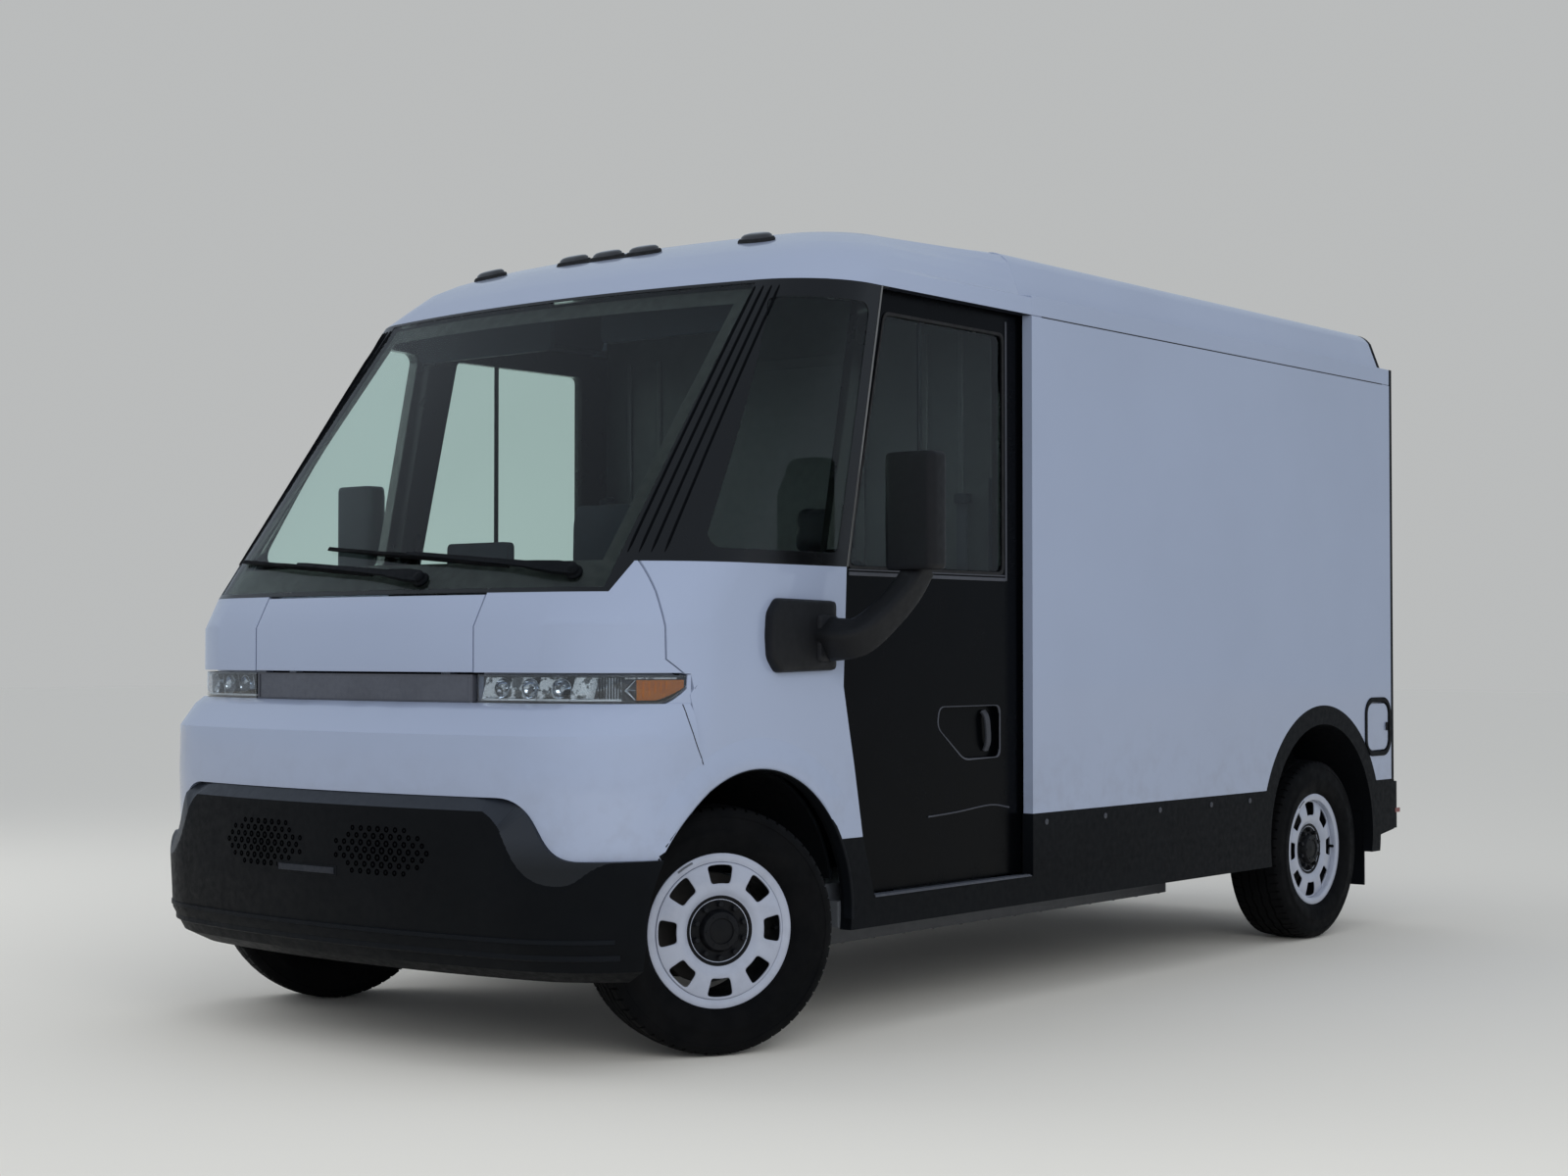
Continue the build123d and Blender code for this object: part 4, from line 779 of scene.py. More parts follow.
def nose_point(reach, z, depth=0.0):
    """A point on the nose, reach metres along its plan outline from the middle, depth below the skin."""
    along = abs(reach)
    bow_y = LAMP_FRONT_Y + NOSE_BOW
    if along <= BOW_LENGTH:
        angle = along / NOSE_BOW
        x, y = NOSE_BOW * sin(angle), bow_y - NOSE_BOW * cos(angle)
    else:
        turned = BOW_LENGTH / NOSE_BOW + (along - BOW_LENGTH) / NOSE_CORNER
        angle = min(turned, pi / 2)
        corner_y = bow_y - sqrt((NOSE_BOW - NOSE_CORNER) ** 2 - CORNER_X ** 2)
        x, y = CORNER_X + NOSE_CORNER * sin(angle), corner_y + NOSE_CORNER * (turned - angle - cos(angle))
    return Vector((copysign(x - sin(angle) * depth, reach), y + cos(angle) * depth, z))


def nose_strip(start, end, low, high, near, far, steps=24, taper=None):
    """A strip of the nose between two reaches, heights and depths."""
    rows = []
    for t in spread(0, 1, steps):
        z0, z1 = taper(t, low, high) if taper else (low, high)
        rows.append([nose_point(start + (end - start) * t, z, depth)
                     for z, depth in ((z0, near), (z1, near), (z1, far), (z0, far))])
    return Form().loft(rows)


def lamp_taper(t, low, high):
    """The lamp's outer end: the lower edge sweeps up to a point behind the corner."""
    return low + (high - low) * 0.55 * max(0.0, (t - 0.88) / 0.12) ** 1.5, high


def lower_lip(t, low, _):
    """A thin strip along the lamp's lower edge."""
    edge = lamp_taper(t, low, LAMP_TOP)[0]
    return edge, edge + 0.005


def amber_taper(t, low, high):
    """The turn lamp's rising lower edge."""
    return low + (high - low) * 0.62 * max(0.0, (t - 0.35) / 0.65) ** 1.4, high


def lamp_strip(low, high, near, far, steps, taper=None):
    """A strip along the whole lamp."""
    return nose_strip(LAMP_START, LAMP_END, low, high, near, far, steps, taper)


def lamp_housing():
    """The dark back of the lamp with a lip along each edge."""
    form = lamp_strip(LAMP_LOW + 0.003, LAMP_TOP - 0.003, 0.034, 0.0385, 40, lamp_taper)
    form.join(lamp_strip(LAMP_LOW + 0.001, LAMP_LOW + 0.006, 0.008, 0.036, 40, lower_lip))
    return form.join(lamp_strip(LAMP_TOP - 0.006, LAMP_TOP - 0.001, 0.008, 0.036, 40))


def lamp_chrome():
    """Bright vanes, projector rings, fine ribs and the marks before the turn lamp."""
    form = Form()
    for start, width in ((0.545, 0.05), (0.64, 0.07), (0.745, 0.08), (0.86, 0.07)):
        vane = ((0.0, 0.01), (width * 0.35, 0.026), (width, 0.033), (width, 0.0335), (width * 0.33, 0.028),
                (-0.002, 0.012))
        form.loft([[nose_point(start + 0.02 * (t - 0.5) + shift,
                               LAMP_LOW + 0.008 + (LAMP_TOP - LAMP_LOW - 0.016) * t, depth)
                    for shift, depth in vane] for t in spread(0, 1, 8)])
    middle = (LAMP_LOW + LAMP_TOP) / 2
    for reach in (0.612, 0.712, 0.822):
        at = nose_point(reach, middle, 0.034)
        out = nose_point(reach, middle) - at
        form.lathe([(0.0, 0.01), (0.004, 0.019), (0.01, 0.0265), (0.018, 0.0305), (0.018, 0.0325),
                    (0.009, 0.029), (0.0, 0.027)], at, out, 32)
        form.lathe([(0.0, 0.0105), (0.01, 0.01), (0.0135, 0.007), (0.015, 0.0005)], at, out, 20)
    for j in range(9):
        reach = 0.935 + 0.009 * j
        form.join(nose_strip(reach, reach + 0.0035, LAMP_LOW + 0.008, LAMP_TOP - 0.008, 0.026, 0.034, 1))
    form.join(nose_strip(1.02, 1.18, LAMP_TOP - 0.0125, LAMP_TOP - 0.0075, 0.006, 0.03, 10))
    for tilt in (-0.03, 0.0, 0.03):
        form.tube([nose_point(1.022, 1.118, 0.024), nose_point(1.052, 1.118 + tilt, 0.012)],
                  [0.004, 0.0015], 6)
    return form


def lamp_amber():
    """The turn lamp with its five steps."""
    form = nose_strip(1.055, LAMP_END - 0.006, LAMP_LOW + 0.01, LAMP_TOP - 0.015, 0.009, 0.03, 14,
                      amber_taper)
    for j in range(5):
        reach = 1.072 + 0.018 * j
        form.join(nose_strip(reach, reach + 0.006, LAMP_LOW + 0.016 + 0.007 * j, LAMP_TOP - 0.019,
                             0.0065, 0.01, 1))
    return form


cover = lamp_strip(LAMP_LOW + 0.0005, LAMP_TOP - 0.0005, 0.0045, 0.007, 48, lamp_taper)
guide = nose_strip(LAMP_START + 0.01, 1.01, LAMP_LOW + 0.0075, LAMP_LOW + 0.0135, 0.011, 0.02, 30)
cover.pair("headlamp_covers", "lamp_glass", replaces=["headlamps"])
for name, form, material in (("headlamp_housings", lamp_housing(), DARK_HOUSING),
                             ("headlamp_reflectors", lamp_chrome(), PAINTED_REFLECTION_CHROME),
                             ("turn_lamps", lamp_amber(), AMBER), ("light_guides", guide, GUIDE)):
    form.pair(name, "lamp_glass", material=material)

ribs = Form()
for j in range(7):
    z = 1.0905 + 0.01 * j
    ribs.join(nose_strip(-0.488, 0.488, z, z + 0.003, 0.0026, 0.0046, 32))
ribs.piece("grille_ribs", "satin_silver")
bars = Form()
for start, end, low, high, steps in ((-0.506, 0.506, 1.079, 1.0835, 32), (-0.506, 0.506, 1.158, 1.1625, 32),
                                     (-0.498, -0.507, 1.0835, 1.158, 1), (0.498, 0.507, 1.0835, 1.158, 1)):
    bars.join(nose_strip(start, end, low, high, 0.001, 0.02, steps))
bars.piece("grille_frame", "satin_silver", material=DARK_HOUSING)


# ---------------------------------------------------------------- front bumper
def set_back(point):
    """Moves the bumper's foremost face in a little, so that what stands on it stays within the CAD box."""
    return Vector((point.x, point.y + 0.0042 * min(1.0, max(0.0, (-2.5 - point.y) / 0.19)), point.z))


BUMPER = Skin("front_bumper", shape=set_back)


def bumper_holes():
    """Two staggered clusters of small ventilation holes, as short sunk tubes with rims, made dark by a near-black
    matte material that is painted shade.
    """
    holes = Form()
    for side in (-1, 1):
        for row in range(7):
            for column in range(11):
                away = abs(column - 5.0) / 6.0 + abs(row - 3.0) / 5.5
                if away > 1.05:
                    continue
                x = side * (0.085 + 0.036 * column + 0.018 * (row % 2))
                size = 0.0105 - 0.0035 * away
                holes.lathe([(0.0012, size * 0.55), (0.0012, size), (0.0004, size + 0.0016),
                             (-0.005, size + 0.0018)], BUMPER.front(x, 0.568 + 0.0215 * row),
                            (x / NOSE_BOW, -1.0, 0.03), 8)
    return holes


def upper_edge(x):
    """The height of the bumper's upper edge at x, found by halving."""
    low, high = 0.55, 0.83
    for _ in range(18):
        z = (low + high) / 2
        hit = BUMPER.hit((x, -4.0, z), REARWARDS)
        low, high = (z, high) if hit and hit[0].y < -2.0 else (low, z)
    return low


def chamfer_cutter(side):
    """The wedge taken off the bumper's S-shaped upper corner, fading in from the middle."""
    last = 36
    edges = [(x, upper_edge(side * x)) for x in spread(0.58, 1.03, last)]
    path = []
    for j, (x, z) in enumerate(edges):
        x1, z1 = edges[max(j - 1, 0)]
        x2, z2 = edges[min(j + 1, last)]
        fade = ease(min(1.0, j / 12, (last - j) / 8))
        inward = Vector((z2 - z1, 0, x1 - x2)).normalized()
        wide = 0.036 + 0.05 * max(0.0, sin(pi * min(1.0, (x - 0.64) / 0.36)))
        edge = BUMPER.front(side * x, z - 0.0008)
        inside = BUMPER.front(side * (x + inward.x * wide), z + inward.z * wide)
        behind = edge + Vector((0, 0.026, 0))
        across = behind - inside
        out = Vector((-inward.x * side, -0.6, -inward.z)).normalized()
        away = out * ((edge - (inside + behind) / 2).dot(out) * 1.06 * (1 - fade))
        path.append([inside - across * 0.3 + away, behind + across * 0.3 + away, edge + out * 0.05 + away])
    return Form().loft(path)


def bumper_shell():
    """The CAD bumper with its S-shaped corners chamfered."""
    whole = add_object("bumper_whole", NODES["front_bumper"].data.copy())
    for vertex in whole.data.vertices:
        vertex.co = set_back(vertex.co)
    modify(whole, "WELD", merge_threshold=WELD_DISTANCE)
    cutters = [add_object("cutter", chamfer_cutter(side).mesh("cutter")) for side in (-1, 1)]
    for cutter in cutters:
        modify(whole, "BOOLEAN", operation="DIFFERENCE", object=cutter)
    bpy.context.view_layer.update()
    cut = bpy.data.meshes.new_from_object(whole.evaluated_get(bpy.context.evaluated_depsgraph_get()))
    for made in (whole, *cutters):
        bpy.data.objects.remove(made)
    return Form([vertex.co.copy() for vertex in cut.vertices],
                [tuple(polygon.vertices) for polygon in cut.polygons])


def on_painted_sheen_bevel(polygon):
    """Whether a face belongs to the bumper's smooth upper bevel and faces up, where the sky reflection is painted
    on.
    """
    return polygon.normal.z > 0.08 and polygon.center.z > 0.58 and polygon.center.y < -2.25


def tow_plate(x0, x1, z0, z1, near, far):
    """A level plate on the bumper's face, from near to far of its skin."""
    rows = []
    for x in spread(x0, x1, 12):
        low, high = BUMPER.front(x, z0), BUMPER.front(x, z1)
        rows.append([point + REARWARDS * shift
                     for point, shift in ((low, near), (high, near), (high, far), (low, far))])
    return Form().loft(rows)


def bumper_rails():
    """Two raised rails low on the bumper."""
    rails = Form()
    for z, lift, height in ((0.392, 0.004, 0.01), (0.345, 0.005, 0.012)):
        rails.band([BUMPER.front(x, z) for x in spread(-1.02, 1.02, 60)],
                   [(-0.004, -height), (lift, -height * 0.6), (lift, height * 0.6), (-0.004, height)])
    return rails


bumper_holes().piece("bumper_vents", "black_plastic", material=HOLE_PAINTED_SHADE)
shell = bumper_shell().piece("bumper_shell", "black_plastic", replaces=["front_bumper"], bevel=0.003)
modify(shell, "WEIGHTED_NORMAL", weight=90, keep_sharp=True)
# The bevel's up-facing faces get a lighter bluish colour, which is a painted sky reflection, with painted shade
# towards the foot.
second_material(shell.data, bumper_painted_sheen(), on_painted_sheen_bevel)
tow_plate(-0.186, 0.079, 0.552, 0.572, -0.004, 0.004).piece("tow_cover", "satin_silver", material=DULL_METAL,
                                                             bevel=0.0015)
tow_plate(-0.196, 0.089, 0.546, 0.578, -0.0018, 0.003).piece("tow_surround", "black_plastic", bevel=0.001)
bumper_rails().piece("bumper_rails", "black_plastic", smooth=50)


# ---------------------------------------------------------------- windshield surroundings
GLASS_SKIN = Skin("windshield")
FRAME_SKIN = Skin("cab_frame", "windshield", "quarter_glass", "fenders", "front_fascia")


def windshield_ring(inset, rise_low, rise_top):
    """Points on the inside of the windshield, all round it and moved in from its edge."""
    low_x, low_z = 0.894 - inset, 1.43 + rise_low
    top_x, top_z = 0.858 - inset, 2.412 - rise_top
    corners = [(-low_x, low_z), (low_x, low_z), (top_x, top_z), (-top_x, top_z), (-low_x, low_z)]
    ring = []
    for (x, z), (x2, z2) in zip(corners, corners[1:]):
        for t in spread(0, 1, 20)[:-1]:
            ring.append(GLASS_SKIN.front(x + (x2 - x) * t, z + (z2 - z) * t, -0.0165))
    return ring


def frit():
    """The black ceramic border printed round the inside of the windshield."""
    outer = windshield_ring(0.0, 0.0, 0.0)
    inner = windshield_ring(0.048, 0.085, 0.052)
    back, far = ([point + REARWARDS * 0.0015 for point in ring] for ring in (inner, outer))
    return Form().loft([outer, inner, back, far, outer], caps=False)


def pillar_ridges():
    """Long parallel ribs up both front pillars, beside the windshield."""
    ribs = Form()
    for foot, head in ((0.912, 0.868), (0.94, 0.896), (0.968, 0.922), (0.996, 0.945)):
        path = [FRAME_SKIN.front(foot + (head - foot) * t, 1.53 + 0.875 * t) for t in spread(0, 1, 30)]
        rows = []
        for i, (point, ahead) in enumerate(zip(path, headings(path))):
            out = Vector((0.55, -0.75, 0.35)).normalized()
            out = (out - ahead * out.dot(ahead)).normalized()
            across = ahead.cross(out) * (0.0055 if 0 < i < 30 else 0.001)
            rows.append([point + across * a + out * b
                         for a, b in ((-1, -0.004), (-0.6, 0.0035), (0.6, 0.0035), (1, -0.004))])
        ribs.loft(rows)
    return ribs


def lamp_surround(t, low, high):
    """Fills the bay below the lamp's rising edge and behind its tip."""
    reach = (1.105 + (1.2262 - 1.105) * t - LAMP_START) / (LAMP_END - LAMP_START)
    top = high + 0.0005 if reach > 1.003 else lamp_taper(min(reach, 1.0), low, high)[0] - 0.0025
    return low - 0.0004, max(low - 0.0002, top)


def cap_corner(angle, z, inset):
    """A point on the roof cap's front corner near its lower edge."""
    t = (z - 2.4303) / 0.0617
    corner = 0.3 + 0.085 * t
    half = 1.1 - 0.024 * t
    middle_y = -1.703 + 0.063 * t + NOSE_BOW - sqrt((NOSE_BOW - corner) ** 2 - (half - corner) ** 2)
    reach = corner - inset
    return Vector((half - corner + reach * sin(angle), middle_y - reach * cos(angle), z))


def cap_fillers():
    """The strip that closes the roof cap's lower edge round its front corner."""
    return Form().loft([[cap_corner(radians(40 + 2 * j), z, inset)
                         for z, inset in ((2.4306, 0.0), (2.453, 0.0), (2.453, 0.01), (2.4306, 0.01))]
                        for j in range(19)])


frit().piece("windshield_frit", "black_gloss", material=BLACK_RUBBER)
pillar_ridges().pair("pillar_ribs", "black_gloss", smooth=60)
nose_strip(1.105, 1.2262, LAMP_LOW, LAMP_TOP, 0.0004, 0.012, 40, lamp_surround).pair(
    "lamp_surrounds", "white_paint", smooth=60)
cap_fillers().pair("cap_corner_fillers", "white_paint")


# ---------------------------------------------------------------- mirrors
MIRROR_HEAD = Vector((1.32, -1.38, 1.677))
HALF_X, HALF_Y, HALF_Z = 0.098, 0.045, 0.187
MIRROR_LOW = MIRROR_HEAD - Vector((HALF_X, HALF_Y, HALF_Z))
MIRROR_HIGH = MIRROR_HEAD + Vector((HALF_X, HALF_Y, HALF_Z))


def mirror_body():
    """The foot on the fender with its pad, the thick arm, and the tall shell with domed ends."""
    foot = rounded([(1.1003, y, z) for y, z in (
        (-1.534, 1.172), (-1.534, 1.392), (-1.822, 1.397), (-1.86, 1.352), (-1.866, 1.283),
        (-1.86, 1.212), (-1.822, 1.166))], 0.018)
    form = Form().loft(stacked(foot, ACROSS, (0.0, 1.0), (0.012, 1.0), (0.026, 0.975), (0.033, 0.93),
                               (0.036, 0.86)))
    pad = rounded([(1.13, -1.545, 1.2), (1.13, -1.545, 1.345), (1.13, -1.65, 1.35),
                   (1.13, -1.65, 1.195)], 0.02, 4)
    form.loft(stacked(pad, ACROSS, (0.0, 1.0), (0.012, 0.97), (0.018, 0.9)))
    path = curve([(1.13, -1.59, 1.272), (1.18, -1.588, 1.27), (1.235, -1.562, 1.279),
                  (1.27, -1.49, 1.335), (1.3, -1.405, 1.42), (1.318, -1.35, 1.5)], 6)
    form.sweep(path, [(0.11 - 0.036 * min(1.0, t * 1.6), 0.122 - 0.034 * t)
                      for t in spread(0, 1, len(path) - 1)], (0.2, -0.6, 0.8), 0.26)
    levels = [(0.02 * (1 - cos(angle)), 0.86 + 0.14 * sin(angle)) for angle in spread(0, pi / 2, 8)]
    upper = [(2 * HALF_Z - distance, scale) for distance, scale in reversed(levels)]
    shell = rounded_rect(MIRROR_LOW, MIRROR_HIGH, 0.03, axis=2, steps=6)
    return form.loft(stacked(shell, UP, *levels, *upper))


def mirror_glasses():
    """The main and wide-angle glasses, in their black frames, facing rearwards."""
    glasses, frames = Form(), Form()
    y = MIRROR_HIGH.y - 0.004
    for low, high in ((MIRROR_LOW.z + 0.13, MIRROR_HIGH.z - 0.018),
                      (MIRROR_LOW.z + 0.018, MIRROR_LOW.z + 0.12)):
        pane = rounded_rect((MIRROR_LOW.x + 0.014, y, low), (MIRROR_HIGH.x - 0.014, y, high), 0.018)
        frames.loft(stacked(pane, REARWARDS, (0.0, 1.0), (0.0055, 0.985), (0.0055, 0.955)))
        glasses.loft(stacked(pane, REARWARDS, (0.004, 0.955), (0.0062, 0.945)))
    return glasses, frames


mirror_body().pair("mirror_bodies", "black_plastic", replaces=["mirrors"], material=MIRROR_SHELL,
                     smooth=48)
glasses, frames = mirror_glasses()
glasses.pair("mirror_glasses", "window_glass", material=MIRROR_SILVER)
frames.pair("mirror_frames", "black_plastic")


# ---------------------------------------------------------------- wipers
WIPERS = (((0.212, 1.454), (-0.828, 1.535)), ((0.79, 1.468), (-0.323, 1.564)))


def add_wiper(arm, blade, pivot, tip):
    """One wiper: pivot cap, hinged arm, and a blade with its rubber lip on the glass."""
    def at(t, rise, lift):
        x, z = Vector(pivot).lerp(Vector(tip), t)
        return FRAME_SKIN.front(x, z + rise, lift)

    def row(t, low, high, near, far):
        return [at(t, low, near), at(t, high, near), at(t, high, far), at(t, low, far)]

    foot = at(0.0, 0.0, -0.002)
    arm.lathe([(0.0, 0.026), (0.008, 0.026), (0.012, 0.02), (0.022, 0.019), (0.027, 0.015), (0.029, 0.001)],
              foot, at(0.0, 0.0, 0.03) - foot, 24)
    arm.loft([row(t, -w, w, near, far)
              for t, w, near, far in ((-0.004, 0.016, 0.01, 0.024), (0.05, 0.017, 0.01, 0.026),
                                      (0.12, 0.012, 0.012, 0.026), (0.16, 0.0085, 0.016, 0.026),
                                      (0.56, 0.006, 0.018, 0.026), (0.62, 0.005, 0.016, 0.024))])
    for near, far, w in ((0.0035, 0.01, 0.0022), (0.01, 0.014, 0.0055)):
        blade.loft([row(t, -0.004 - w, -0.004 + w, near, far) for t in spread(0.22, 1.0, 24)])
    for start, end, top in ((0.3, 0.52, 0.017), (0.66, 0.92, 0.017), (0.44, 0.8, 0.021)):
        rows = []
        for t in spread(0, 1, 12):
            lift = 0.012 + (top - 0.012) * max(0.0, sin(pi * t)) ** 0.6
            rows.append(row(start + (end - start) * t, -0.0085, 0.0005, lift - 0.002, lift + 0.001))
        blade.loft(rows)


arms, blades = Form(), Form()
for pivot, tip in WIPERS:
    add_wiper(arms, blades, pivot, tip)
arms.piece("wiper_arms", "black_plastic", replaces=["wipers"], bevel=0.0012)
blades.piece("wiper_blades", "tyre_rubber")


# ---------------------------------------------------------------- roof marker lamps
CAP_SKIN = Skin("roof_front_cap")
LAMPS = ((-0.64, -1.35), (-0.168, -1.395), (0.0, -1.4), (0.168, -1.395), (0.64, -1.35))


def lamp_pad(x, y, half_x, half_y, *levels):
    """Stacked oval outlines that follow the cap: (lift, scale) pairs."""
    rows = []
    for lift, scale in levels:
        starts = [(x + a * half_x * scale, y + b * half_y * scale, 4.0) for a, b in squarish(40, 0.62, 0.8)]
        rows.append([CAP_SKIN.hit(start, -UP)[0] + UP * lift for start in starts])
    return Form().loft(rows)


bases, lenses = Form(), Form()
for x, y in LAMPS:
    bases.join(lamp_pad(x, y, 0.074, 0.032, (-0.002, 1.0), (0.006, 1.0), (0.012, 0.93), (0.013, 0.86)))
    lenses.join(lamp_pad(x, y, 0.074, 0.032, (0.011, 0.86), (0.02, 0.8), (0.026, 0.66), (0.0285, 0.42),
                         (0.029, 0.12)))
bases.join(lamp_pad(0.0, -1.398, 0.246, 0.036, (-0.002, 1.0), (0.003, 1.0), (0.005, 0.97)))
bases.piece("marker_bases", "smoked_lens", material=BLACK_RUBBER, replaces=["marker_lamps"])
lenses.piece("marker_lenses", "smoked_lens", smooth=60)


# ---------------------------------------------------------------- side doors
DOOR_OUT = 1.045
DOOR_WINDOW = ((-1.171, 2.345), (-0.482, 2.345), (-0.482, 1.512), (-1.369, 1.512))
HANDLE_RECESS = ((-0.5, 1.04), (-0.5, 0.862), (-0.716, 0.862), (-0.872, 0.972), (-0.86, 1.04))


def flat_ring(outline, x, width, thick):
    """A raised frame round a side-view outline, on the plane x."""
    inner = [Vector((x, y, z)) for y, z in outline]
    middle = sum(inner, Vector()) / len(inner)
    rise = ACROSS * thick
    rows = []
    for point in rounded(inner, 0.028):
        out = ((point - middle) * Vector((0, 1, 1))).normalized() * width
        rows.append([point, point + out, point + out + rise, point + out * 0.25 + rise])
    return Form().loft([*rows, rows[0]], caps=False)


def belt_strips():
    """The strips under the window and behind it."""
    form = Form().block((DOOR_OUT - 0.001, -1.372, 1.478), (DOOR_OUT + 0.0045, -0.462, 1.49))
    form.block((DOOR_OUT - 0.001, -1.372, 1.495), (DOOR_OUT + 0.003, -0.462, 1.5))
    return form.block((DOOR_OUT - 0.001, -0.46, 1.48), (DOOR_OUT + 0.004, -0.452, 2.4))


def door_pull():
    """The pull's rim, its grip and the pressed crease below."""
    form = flat_ring(HANDLE_RECESS, DOOR_OUT - 0.002, 0.007, 0.004)
    grip = curve([(DOOR_OUT + x, y, z) for x, y, z in (
        (-0.018, -0.56, 0.885), (-0.006, -0.562, 0.915), (-0.004, -0.566, 0.96), (-0.006, -0.572, 1.0),
        (-0.018, -0.575, 1.022))], 4)
    form.sweep(grip, [(0.026, 0.014)] * len(grip), ACROSS)
    return form.tube(curve([(DOOR_OUT + x, y, z) for x, y, z in (
        (0.001, -0.93, 0.672), (0.002, -0.76, 0.68), (0.002, -0.56, 0.694), (0.001, -0.44, 0.68))], 5),
        0.003, 8)


for side, matrix in SIDES:
    door = f"door_{side}"
    flat_ring(DOOR_WINDOW, DOOR_OUT - 0.005, 0.016, 0.009).moved(matrix).piece(
        f"{door}_window_seal", "black_plastic", door, material=BLACK_RUBBER)
    belt_strips().moved(matrix).piece(f"{door}_belt_strip", "cab_trim", door, material=DARK_HOUSING,
                                      bevel=0.001)
    door_pull().moved(matrix).piece(f"{door}_pull", "black_gloss", door, material=DARK_HOUSING,
                                    smooth=50)
    Form().slab((1.019, -0.955, 1.506), (1.0265, -0.938, 2.35), 0.004).moved(matrix).piece(
        f"{door}_window_bar", "black_plastic", door)

edge_top = Vector((1.0985, -1.259, 2.428))
edge_foot = Vector((1.0985, -1.448, 1.503))
edge = Form().tube([edge_top, edge_top.lerp(edge_foot, 0.5), edge_foot], 0.0045, 8)
edge.pair("opening_edges", "satin_silver", material=METAL_TRIM)
sill = Form().block((1.057, -1.296, 0.4345), (1.0985, -0.372, 0.4385))
for j in range(5):
    x = 1.061 + 0.0076 * j
    sill.block((x, -1.292, 0.438), (x + 0.0035, -0.376, 0.442))
sill.pair("sill_plates", "satin_silver", bevel=0.0006)


# ---------------------------------------------------------------- cab interior
WHEEL_AT = Vector((0.455, -1.7, 1.27))
WHEEL_AXIS = Vector((0, 0.78, 0.62)).normalized()
WHEEL_UP = (-WHEEL_AXIS.cross(ACROSS)).normalized()
SEAT_X = 0.455


def wheel_point(across, up, out):
    """A point given from the steering wheel's middle."""
    return WHEEL_AT + ACROSS * across + WHEEL_UP * up + WHEEL_AXIS * out


def steering_grip():
    """The steering wheel's oval rim."""
    oval = [(0.014 + 0.0135 * a, 0.189 + 0.0155 * b) for a, b in circle(16)]
    return Form().lathe([*oval, oval[0]], WHEEL_AT, WHEEL_AXIS, 72)


def steering_hub():
    """The spokes, pad, column shroud and stalks."""
    form = Form()
    for angle, width in ((0.12, 0.04), (pi - 0.12, 0.04), (-pi / 2, 0.052)):
        path = [wheel_point(r * cos(angle), r * sin(angle), out)
                for r, out in ((0.05, 0.02), (0.095, 0.016), (0.14, 0.013), (0.18, 0.013))]
        form.sweep(path, [(width, 0.02), (width * 0.8, 0.016), (width * 0.62, 0.013), (width * 0.7, 0.012)],
                   WHEEL_AXIS, 0.45)
    pad = rounded([wheel_point(-0.085, -0.062, 0.006), wheel_point(0.085, -0.062, 0.006),
                   wheel_point(0.074, 0.06, 0.006), wheel_point(-0.074, 0.06, 0.006)], 0.035, 6)
    form.loft(stacked(pad, WHEEL_AXIS, (0, 0.96), (0.012, 1.0), (0.02, 0.96), (0.026, 0.84), (0.028, 0.55)))
    form.lathe([(0.004, 0.036), (-0.01, 0.052), (-0.06, 0.06), (-0.13, 0.058), (-0.15, 0.036),
                (-0.33, 0.03), (-0.33, 0.001)], WHEEL_AT, WHEEL_AXIS, 32)
    for turn in (-1, 1):
        form.tube([wheel_point(turn * 0.04, 0.01, -0.045), wheel_point(turn * 0.1, 0.018, -0.04),
                   wheel_point(turn * 0.165, 0.026, -0.03)], [0.008, 0.007, 0.009])
    return form


def dash_details():
    """The instrument pod, the middle display's case, vents, and the dash's upper roll."""
    trim = Form().prism(rounded([(0.47, -2.06, 1.38), (0.735, -2.06, 1.38), (0.74, -2.065, 1.64),
                                 (0.73, -2.068, 1.69), (0.5, -2.068, 1.69), (0.48, -2.065, 1.64)],
                                0.02, 4), (0, 0.045, -0.004))
    trim.slab((-0.15, -2.02, 1.386), (0.135, -1.985, 1.59), 0.02)
    for x in (-0.86, -0.36, 0.22, 0.8):
        trim.slab((x - 0.075, -1.935, 1.205), (x + 0.075, -1.922, 1.275), 0.012)
        for j in range(5):
            z = 1.214 + 0.012 * j
            trim.block((x - 0.066, -1.926, z), (x + 0.066, -1.914, z + 0.004))
    roll = [Vector((x, -1.932, 1.338)) for x in (-0.98, -0.5, 0.0, 0.25)]
    return trim.sweep(roll, [(0.03, 0.022)] * 4, UP)


def bulkhead_ribs():
    """The bulkhead's ribs and its door."""
    walls = Form()
    for x in (-0.86, -0.7, 0.62, 0.78, 0.92):
        walls.sweep([Vector((x, -0.349, 0.7)), Vector((x, -0.349, 2.4))], [(0.02, 0.01)] * 2, REARWARDS)
    walls.slab((-0.46, -0.356, 0.7), (0.34, -0.344, 2.36), 0.05)
    return walls.slab((-0.42, -0.361, 0.74), (0.3, -0.355, 2.32), 0.04)


def cab_rails():
    """The bulkhead door's latch and pull, and a grab rail by each side door."""
    rails = Form().slab((0.22, -0.372, 1.42), (0.27, -0.36, 1.62), 0.012)
    rails.tube(curve([(0.245, -0.364, 1.45), (0.245, -0.398, 1.46), (0.245, -0.398, 1.58),
                      (0.245, -0.364, 1.59)], 4), 0.007, 10)
    for x in (-0.955, 0.955):
        rails.tube(curve([(x, -0.35, 1.05), (x, -0.4, 1.06), (x, -0.41, 1.12), (x, -0.41, 1.78),
                          (x, -0.4, 1.84), (x, -0.35, 1.85)], 5), 0.013, 14)
    return rails


